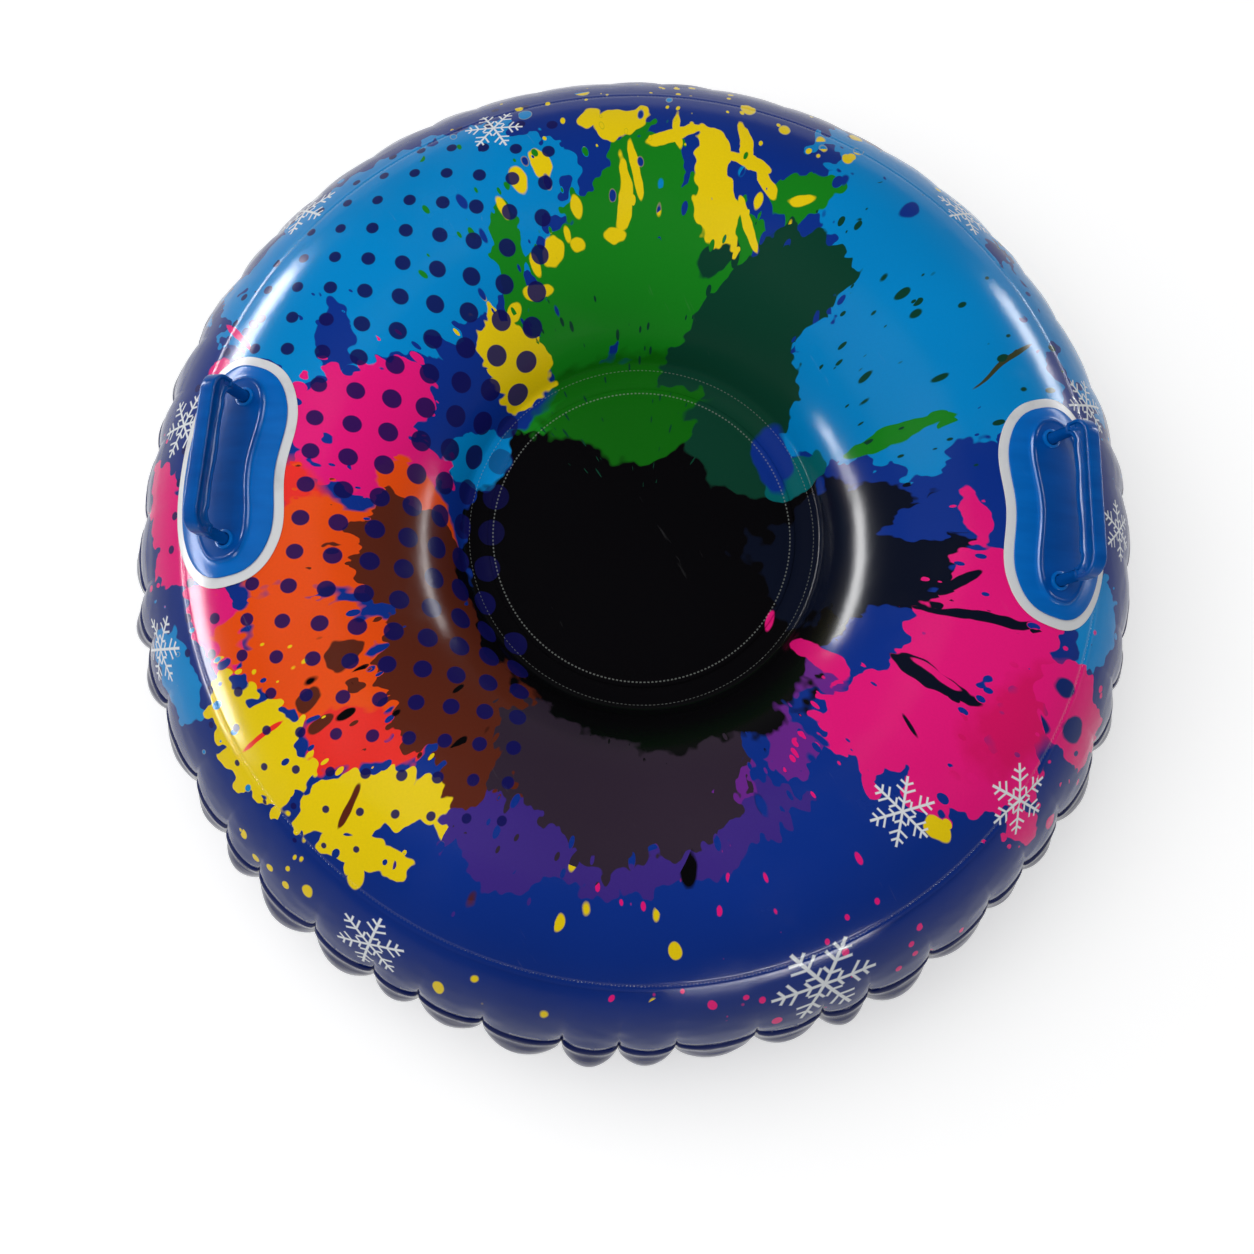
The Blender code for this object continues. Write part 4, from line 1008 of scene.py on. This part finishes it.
def bent_plate(bm, rings, handle_angle, material_of=lambda number: 0):
    """A closed plate from rings of (half length, half width, height out from the skin)."""
    made = []
    for half_length, half_width, out in rings:
        outline = plate_outline(half_length, half_width)
        made.append([bm.verts.new(on_shoulder(a, b, out, handle_angle)) for a, b in outline])
    for number, (first, second) in enumerate(zip(made, made[1:])):
        join_rings(bm, first, second, material_of(number))
    half = PLATE_POINTS // 2
    for ring, material in ((made[0], material_of(0)), (made[-1], 0)):
        closing = [(ring[0], ring[1], ring[-1])]
        for index in range(1, half - 1):
            closing.append((ring[index], ring[index + 1], ring[-index - 1], ring[-index]))
        closing.append((ring[half - 1], ring[half], ring[half + 1]))
        for corners in closing:
            bm.faces.new(corners).material_index = material


def piece_from(name, bm):
    """A piece from a finished bmesh, with its faces turned outwards."""
    bmesh.ops.recalc_face_normals(bm, faces=bm.faces)
    mesh = bpy.data.meshes.new(name)
    bm.to_mesh(mesh)
    bm.free()
    return new_piece(name, mesh)


def white(tree, place):
    """White sheet, greyed a little by handling."""
    return mottled(tree, place, (30, 4), 0.05, 0.25, WHITE_CLEAN, WHITE_HANDLED)


white_vinyl = vinyl("white_vinyl", [], 0.26, 0.2, white, 0.0004)
patch_rings = inward(PATCH_HALF_LENGTH - 0.001, PATCH_HALF_WIDTH - 0.001, PATCH_LOW)[::-1]
for inset, out in (
    (0.0003, PATCH_LOW), (0, PATCH_LOW + 0.0001), (0, PATCH_HIGH - 0.0002), (0.0003, PATCH_HIGH)
):
    patch_rings.append((PATCH_HALF_LENGTH - inset, PATCH_HALF_WIDTH - inset, out))
patch_rings += inward(PATCH_HALF_LENGTH - 0.001, PATCH_HALF_WIDTH - 0.001, PATCH_HIGH)
for side, handle_angle in handles:
    bm = bmesh.new()
    bent_plate(bm, patch_rings, handle_angle)
    patch = piece_from(f"white_handle_patch_{side}", bm)
    dress(patch, [white_vinyl], f"handle_patch_{side}")

# Handle bases: soft blue vinyl mouldings welded to the patches. A thin flange rises to a pad with
# a rolled lip, and a collar stands round each post of the grip.
PLATE_HALF_LENGTH, PLATE_HALF_WIDTH = PATCH_HALF_LENGTH - 0.009, PATCH_HALF_WIDTH - 0.009
PAD_HALF_LENGTH, PAD_HALF_WIDTH = 0.088, 0.030
BASE_LOW = PATCH_HIGH + 0.0006
PAD_TOP = BASE_LOW + 0.0072
PAD_LIP_WIDTH, PAD_LIP = 0.0034, 0.0006
POST_SPACING, POST_RADIUS, POST_INSET = 0.137, 0.0057, 0.0090
PAD_FOOT, COLLAR_GAP, COLLAR_WALL, COLLAR_RISE, COLLAR_ROOT = 0.006, 0.0003, 0.0036, 0.0014, -0.0035
COLLAR_RADIUS = POST_RADIUS + COLLAR_WALL


def handle_frame(handle_angle):
    """Axes of a grip: X along the plate, Y down the shoulder, Z out from the skin."""
    out = Vector((math.cos(handle_angle), math.sin(handle_angle), 0))
    up = Vector((0, 0, 1))
    normal = out * math.sin(HANDLE_LEAN) + up * math.cos(HANDLE_LEAN)
    down = out * math.cos(HANDLE_LEAN) - up * math.sin(HANDLE_LEAN)
    axes = Matrix((down.cross(normal), down, normal)).transposed().to_4x4()
    axes.translation = on_shoulder(0, 0, 0, handle_angle)
    return axes @ Matrix.Translation((0, -POST_INSET, 0))


# How far the bent skin has fallen away from a grip's flat frame at a post.
post_foot = -HANDLE_REACH * (1 - math.cos(POST_SPACING / 2 / HANDLE_REACH)) * math.sin(HANDLE_LEAN)


def post_axes(handle_angle, height=0.0):
    """The axes of the two posts of a grip, at a height above its frame."""
    axes = handle_frame(handle_angle)
    shifts = (-POST_SPACING / 2, POST_SPACING / 2)
    return [axes @ Matrix.Translation((shift, 0, height)) for shift in shifts]


def turned(bm, profile, axes, segments=32, closed=False, wave=None):
    """A profile of (radius, height) turned about an axis. A wave changes the radius round it."""
    made = []
    for radius, height in profile:
        ring = []
        for index in range(segments if radius > 0 else 1):
            turn = math.tau * index / segments
            reach = radius + (wave(turn, height) if wave and radius > 0 else 0)
            spot = Vector((reach * math.cos(turn), reach * math.sin(turn), height))
            ring.append(bm.verts.new(axes @ spot))
        made.append(ring)
    for first, second in zip(made, made[1:] + (made[:1] if closed else [])):
        for index in range(segments):
            after = (index + 1) % segments
            corners = [first[index % len(first)], first[after % len(first)]]
            corners += [second[after % len(second)], second[index % len(second)]]
            bm.faces.new(list(dict.fromkeys(corners)))


FLOW_SIZE = (0.05, 0.012)


def moulded(name, colour, pale, roughness):
    """Glossy moulded vinyl: faint flow marks, rubbed edges and fine sink ripples."""
    material, tree, shader = new_material(name)
    place = tree.nodes.new("ShaderNodeTexCoord").outputs["Object"]
    drawn_out = placed(tree, place, (0, 0), 0, FLOW_SIZE)
    body = mottled(tree, drawn_out, (1, 3), -0.2, 0.25, colour, pale)
    handled(tree, shader, place, body, roughness, 0.12, 0.0004, 0.35, 1.22)
    return material


flange_blue = moulded("flange_blue", ink(0, 102, 190), ink(2, 112, 204), 0.22)
# The pad is the same plastic as the flange: its darker blue is painted shade on the pad face.
pad_blue_painted_shade = moulded("pad_blue_painted_shade", ink(0, 74, 156), ink(0, 84, 172), 0.22)

pad_rings = inward(
    PAD_HALF_LENGTH - PAD_LIP_WIDTH - 0.001, PAD_HALF_WIDTH - PAD_LIP_WIDTH - 0.001, PAD_TOP - PAD_LIP
)[::-1]
# The rolled lip, in shares of its width and height, then the side of the pad down to the flange.
side_of_pad = []
for width, fall in ((1, 0.9), (0.8, 0.45), (0.6, 0.08), (0.42, 0), (0.22, 0.1), (0.07, 0.45), (0, 1)):
    side_of_pad.append((PAD_LIP_WIDTH * width, PAD_TOP - PAD_LIP * fall))
side_of_pad.append((-0.0007, PAD_TOP - 0.0026))
for spread, rise in ((0.0012, 0.0040), (0.0020, 0.0031), (0.0032, 0.0027), (PAD_FOOT, 0.0025)):
    side_of_pad.append((-spread, BASE_LOW + rise))
for inset, out in side_of_pad:
    pad_rings.append((PAD_HALF_LENGTH - inset, PAD_HALF_WIDTH - inset, out))
# The pad's darker blue, painted shade on a copy of the flange's blue, ends at the outer edge of the
# lip.
pad_count = len(pad_rings) - 6
foot_length, foot_width = PAD_HALF_LENGTH + PAD_FOOT, PAD_HALF_WIDTH + PAD_FOOT
for share, out in ((0.35, 0.0024), (0.7, 0.0019), (0.93, 0.0015), (0.985, 0.0012), (1.0, 0.0006)):
    half_length = foot_length + (PLATE_HALF_LENGTH - foot_length) * share
    half_width = foot_width + (PLATE_HALF_WIDTH - foot_width) * share
    pad_rings.append((half_length, half_width, BASE_LOW + out))
pad_rings += inward(PLATE_HALF_LENGTH - 0.0006, PLATE_HALF_WIDTH - 0.0006, BASE_LOW)

collar = [(POST_RADIUS + COLLAR_GAP, COLLAR_RISE - 0.0010), (POST_RADIUS + 0.0009, COLLAR_RISE)]
for inset, fall in ((0.0007, 0), (0.0002, 0.0003), (0, 0.0009)):
    collar.append((COLLAR_RADIUS - inset, COLLAR_RISE - fall))
collar += [(COLLAR_RADIUS + 0.0004, COLLAR_ROOT), (POST_RADIUS + COLLAR_GAP, COLLAR_ROOT)]
for side, handle_angle in handles:
    bm = bmesh.new()
    bent_plate(bm, pad_rings, handle_angle, lambda number: 1 if number < pad_count else 0)
    for axes in post_axes(handle_angle, post_foot + PAD_TOP):
        turned(bm, collar, axes, closed=True)
    base = piece_from(f"blue_handle_base_{side}", bm)
    dress(base, [flange_blue, pad_blue_painted_shade], f"handle_base_{side}")

# Grips: one stiff blue moulding each, a flat bar with a recess in both faces and finger hollows
# under it, on two round posts whose heads are held under the pad.
FINGER_HEIGHT, BAR_HEIGHT, BAR_THICKNESS = 0.038, 0.022, 0.0145
BAR_CORNER, BAR_INNER, BAR_EDGE, LEG_LENGTH = 0.020, 0.010, 0.0022, 0.009
RECESS_DEPTH, RECESS_MARGIN = 0.0022, 0.0035
FINGER_WAVE, WAVE_STEPS, EDGE_STEPS = 0.0016, 40, 5
HEAD_RADIUS, HEAD_HEIGHT = 0.0085, 0.0018


def arc(centre, radius, start, end, steps):
    """Points on an arc, by its start and end angle."""
    points = []
    for index in range(steps + 1):
        angle = start + (end - start) * index / steps
        points.append((centre[0] + radius * math.cos(angle), centre[1] + radius * math.sin(angle)))
    return points


def bar_outline(inset):
    """The bar and its two short legs, seen along the shoulder: X along, Y out from the skin."""
    half = POST_SPACING / 2 + POST_RADIUS - inset
    leg = 2 * (POST_RADIUS - inset)
    under = PAD_TOP + FINGER_HEIGHT + inset
    top = PAD_TOP + FINGER_HEIGHT + BAR_HEIGHT - inset
    foot = PAD_TOP + FINGER_HEIGHT - LEG_LENGTH + inset
    outer, inner = BAR_CORNER - inset, BAR_INNER + inset
    right = [(half, foot)] + arc((half - outer, top - outer), outer, 0, QUARTER, 14)
    left = [(-x, y) for x, y in reversed(right)]
    turn = arc((-half + leg + inner, under - inner), inner, math.pi, QUARTER, 10)
    waves = []
    reach = half - leg - inner
    for index in range(1, WAVE_STEPS):
        share = index / WAVE_STEPS
        lift = math.sin(math.pi * share * 2) ** 2
        waves.append((-reach + 2 * reach * share, under + FINGER_WAVE * (lift - 1)))
    back = [(-x, y) for x, y in reversed(turn)]
    ends = [(-half + leg, foot), (half - leg, foot)]
    return right + left + ends[:1] + turn + waves + back + ends[1:]


face_out = BAR_THICKNESS / 2
# From the floor of the recess over the rounded edge of the bar, and the same on its other side.
steps = []
for widen, fall in ((0.0008, RECESS_DEPTH), (0.0002, RECESS_DEPTH - 0.0005), (0, 0.0005), (-0.0004, 0)):
    steps.append((RECESS_MARGIN + widen, face_out - fall))
for index in range(EDGE_STEPS + 1):
    turn = QUARTER * index / EDGE_STEPS
    steps.append((BAR_EDGE * (1 - math.sin(turn)), face_out - BAR_EDGE * (1 - math.cos(turn))))
steps += [(inset, -out) for inset, out in reversed(steps)]

# A post, from inside the bar past a bead to its head under the pad.
foot = post_foot + BASE_LOW + 0.0005
tip = PAD_TOP + FINGER_HEIGHT + 0.003
post = [(0, tip)]
for swell, fall in ((0, 0), (0, 0.0110), (0.0006, 0.0125), (0.0006, 0.0145), (-0.0001, 0.0160)):
    post.append((POST_RADIUS + swell, tip - fall))
post.append((POST_RADIUS - 0.0001, foot + HEAD_HEIGHT))
post += [(HEAD_RADIUS, foot + HEAD_HEIGHT), (HEAD_RADIUS, foot), (0, foot)]
grip_blue = moulded("grip_blue", ink(0, 78, 160), ink(2, 92, 178), 0.19)
for side, handle_angle in handles:
    axes = handle_frame(handle_angle)
    bm = bmesh.new()
    made = []
    for inset, out in steps:
        made.append([bm.verts.new(axes @ Vector((x, -out, y))) for x, y in bar_outline(inset)])
    for first, second in zip(made, made[1:]):
        join_rings(bm, first, second)
    bm.faces.new(made[0])
    bm.faces.new(made[-1])
    for post_frame in post_axes(handle_angle):
        turned(bm, post, post_frame)
    dress(piece_from(f"blue_grip_{side}", bm), [grip_blue], f"grip_{side}")

# Valve seat: a navy moulding welded to the wall of the hollow, with a short threaded boss.
BOSS_RADIUS, BOSS_WALL, BOSS_INSIDE, BOSS_OUTSIDE = 0.0190, 0.0026, 0.014, 0.0055
VALVE_SEGMENTS = 72
# The flange lies on the wall with a rolled rim and one groove: reach, and height off the wall.
VALVE_FLANGE = (
    (0.0180, 0.0008), (0.0255, 0.0008), (0.0318, 0.0008), (0.0320, 0.0012), (0.0320, 0.0018),
    (0.0316, 0.0022), (0.0298, 0.0022), (0.0290, 0.0018), (0.0282, 0.0018), (0.0274, 0.0022),
    (0.0225, 0.0022), (0.0200, 0.0025), (0.0180, 0.0025),
)


def inner_wall_radius(height):
    """Radius of the wall of the hollow under the seat."""
    fall = max((SECTION_HEIGHT - height) / SECTION_HEIGHT, 0)
    return RING_RADIUS - SECTION_RADIUS * (1 - fall**BASE_SQUARENESS) ** (1 / BASE_SQUARENESS)


wall_radius = inner_wall_radius(VALVE_HEIGHT)
valve_axes = Matrix.Rotation(QUARTER, 4, "X")
valve_axes.translation = (0, wall_radius, VALVE_HEIGHT)
bm = bmesh.new()
made = []
for reach, out in VALVE_FLANGE:
    ring = []
    for index in range(VALVE_SEGMENTS):
        turn = math.tau * index / VALVE_SEGMENTS
        height = VALVE_HEIGHT + reach * math.sin(turn)
        angle = QUARTER + reach * math.cos(turn) / wall_radius
        radius = inner_wall_radius(height) - out
        ring.append(bm.verts.new((radius * math.cos(angle), radius * math.sin(angle), height)))
    made.append(ring)
for first, second in zip(made, made[1:] + made[:1]):
    join_rings(bm, first, second)
bore = BOSS_RADIUS - BOSS_WALL
boss = [(BOSS_RADIUS - 0.0005, BOSS_OUTSIDE), (BOSS_RADIUS, BOSS_OUTSIDE - 0.0005)]
boss += [(BOSS_RADIUS, -BOSS_INSIDE), (bore, -BOSS_INSIDE)]
boss += [(bore, BOSS_OUTSIDE - 0.0004), (bore + 0.0004, BOSS_OUTSIDE)]
turned(bm, boss, valve_axes, VALVE_SEGMENTS, closed=True)
valve_navy = moulded("valve_navy", ink(13, 24, 82), ink(20, 34, 96), 0.26)
dress(piece_from("navy_valve_seat", bm), [valve_navy], "valve_seat")

# Valve plug: a black screw-in collar with a knurled rim, a neck for the pump, and a spider at its
# foot that holds the stem of the flap.
RIM_LOW = BOSS_OUTSIDE + 0.0003
RIM_HIGH = RIM_LOW + 0.0028
NECK_TOP = RIM_HIGH + 0.0060
PLUG_FOOT = RIM_LOW - 0.0165
PLUG_RADIUS = BOSS_RADIUS - BOSS_WALL - 0.0004
PLUG_BORE, NECK_RADIUS, RIM_RADIUS, HUB_RADIUS, HUB_BORE = 0.0100, 0.0125, 0.0225, 0.0034, 0.0015
THREAD_ROWS, THREAD_STEP, THREAD_DEPTH = 12, 0.0012, 0.0004
KNURLS, KNURL_DEPTH = 36, 0.0004
ARM_REACH, ARM_SIZE, SPIDER_HEIGHT = 0.0067, (0.0070, 0.0030, 0.0018, 1), 0.0018

profile = [(NECK_RADIUS, NECK_TOP - 0.0005), (NECK_RADIUS, RIM_HIGH + 0.0004)]
profile += [(NECK_RADIUS + 0.0005, RIM_HIGH), (RIM_RADIUS - 0.0007, RIM_HIGH)]
profile += [(RIM_RADIUS, RIM_HIGH - 0.0006), (RIM_RADIUS, RIM_LOW + 0.0004)]
profile += [(RIM_RADIUS - 0.0005, RIM_LOW), (PLUG_RADIUS, RIM_LOW)]
for index in range(THREAD_ROWS):
    depth = THREAD_DEPTH if index % 2 else 0
    profile.append((PLUG_RADIUS - depth, RIM_LOW - THREAD_STEP * (index + 1)))
profile += [(PLUG_RADIUS - 0.0006, PLUG_FOOT), (PLUG_BORE, PLUG_FOOT)]
profile += [(PLUG_BORE, NECK_TOP), (NECK_RADIUS - 0.0005, NECK_TOP)]


def knurls(turn, height):
    """The knurled rim that fingers turn the plug by."""
    return KNURL_DEPTH * math.cos(turn * KNURLS) if RIM_LOW < height < RIM_HIGH else 0


bm = bmesh.new()
turned(bm, profile, valve_axes, 144, closed=True, wave=knurls)
spider_top = PLUG_FOOT + SPIDER_HEIGHT
hub = [(HUB_BORE, spider_top), (HUB_RADIUS, spider_top), (HUB_RADIUS, PLUG_FOOT), (HUB_BORE, PLUG_FOOT)]
turned(bm, hub, valve_axes, 24, closed=True)
for quarter in range(4):
    arm = valve_axes @ Matrix.Rotation(QUARTER * quarter, 4, "Z")
    arm = arm @ Matrix.Translation((ARM_REACH, 0, (PLUG_FOOT + spider_top) / 2))
    made = bmesh.ops.create_cube(bm, size=1, matrix=arm @ Matrix.Diagonal(ARM_SIZE))
    edges = {edge for vert in made["verts"] for edge in vert.link_edges}
    bmesh.ops.bevel(bm, geom=list(edges), offset=0.0003, segments=2, affect="EDGES")
valve_black = moulded("valve_black", ink(20, 22, 28), ink(34, 36, 42), 0.32)
dress(piece_from("black_valve_plug", bm), [valve_black], "valve_plug", "valve_plug")

# Valve flap: a soft disc that seals the plug from inside, on a stem held by the spider.
FLAP_RADIUS, FLAP_SHEET, STEM_RADIUS, STEM_HEAD = 0.0125, 0.0010, 0.0012, 0.0024
FLAP_GREY, FLAP_PALE = (0.58, 0.59, 0.58, 1), (0.66, 0.67, 0.66, 1)

top, head = PLUG_FOOT - 0.0003, spider_top + 0.0023
profile = [(0, head + 0.0010), (0.0018, head + 0.0010), (STEM_HEAD, head + 0.0006)]
profile += [(STEM_HEAD, head), (STEM_RADIUS, head), (STEM_RADIUS, top), (FLAP_RADIUS - 0.0007, top)]
profile += [(FLAP_RADIUS, top - 0.0003), (FLAP_RADIUS, top - 0.0008)]
profile += [(FLAP_RADIUS - 0.0005, top - FLAP_SHEET), (0, top - FLAP_SHEET)]
bm = bmesh.new()
turned(bm, profile, valve_axes, 40)
soft_grey = moulded("flap_silicone", FLAP_GREY, FLAP_PALE, 0.42)
dress(piece_from("silicone_valve_flap", bm), [soft_grey], "valve_flap", "valve_flap")

# Valve cap: a black push-on cap over the neck, with ribs round it for wet fingers.
CAP_GAP, CAP_WALL, DISH_RADIUS, RIBS, RIB_DEPTH = 0.0004, 0.0024, 0.0090, 30, 0.0005

inner = NECK_RADIUS + CAP_GAP
outer = inner + CAP_WALL
under, low = NECK_TOP + 0.0003, RIM_HIGH + 0.0003
crown = under + 0.0022
profile = [(0, crown - 0.0004), (DISH_RADIUS, crown - 0.0004), (DISH_RADIUS + 0.0008, crown)]
profile += [(outer - 0.0008, crown), (outer - 0.0002, crown - 0.0003), (outer, crown - 0.0009)]
profile += [(outer, low + 0.0012), (outer - 0.0003, low), (inner, low), (inner, under), (0, under)]


def ribs(turn, height):
    """Ribs round the side of the cap."""
    on_side = low + 0.001 < height < crown - 0.0005
    return -RIB_DEPTH * max(math.cos(turn * RIBS), 0) if on_side else 0


bm = bmesh.new()
turned(bm, profile, valve_axes, 180, wave=ribs)
dress(piece_from("black_valve_cap", bm), [valve_black], "valve_cap", "valve_cap")
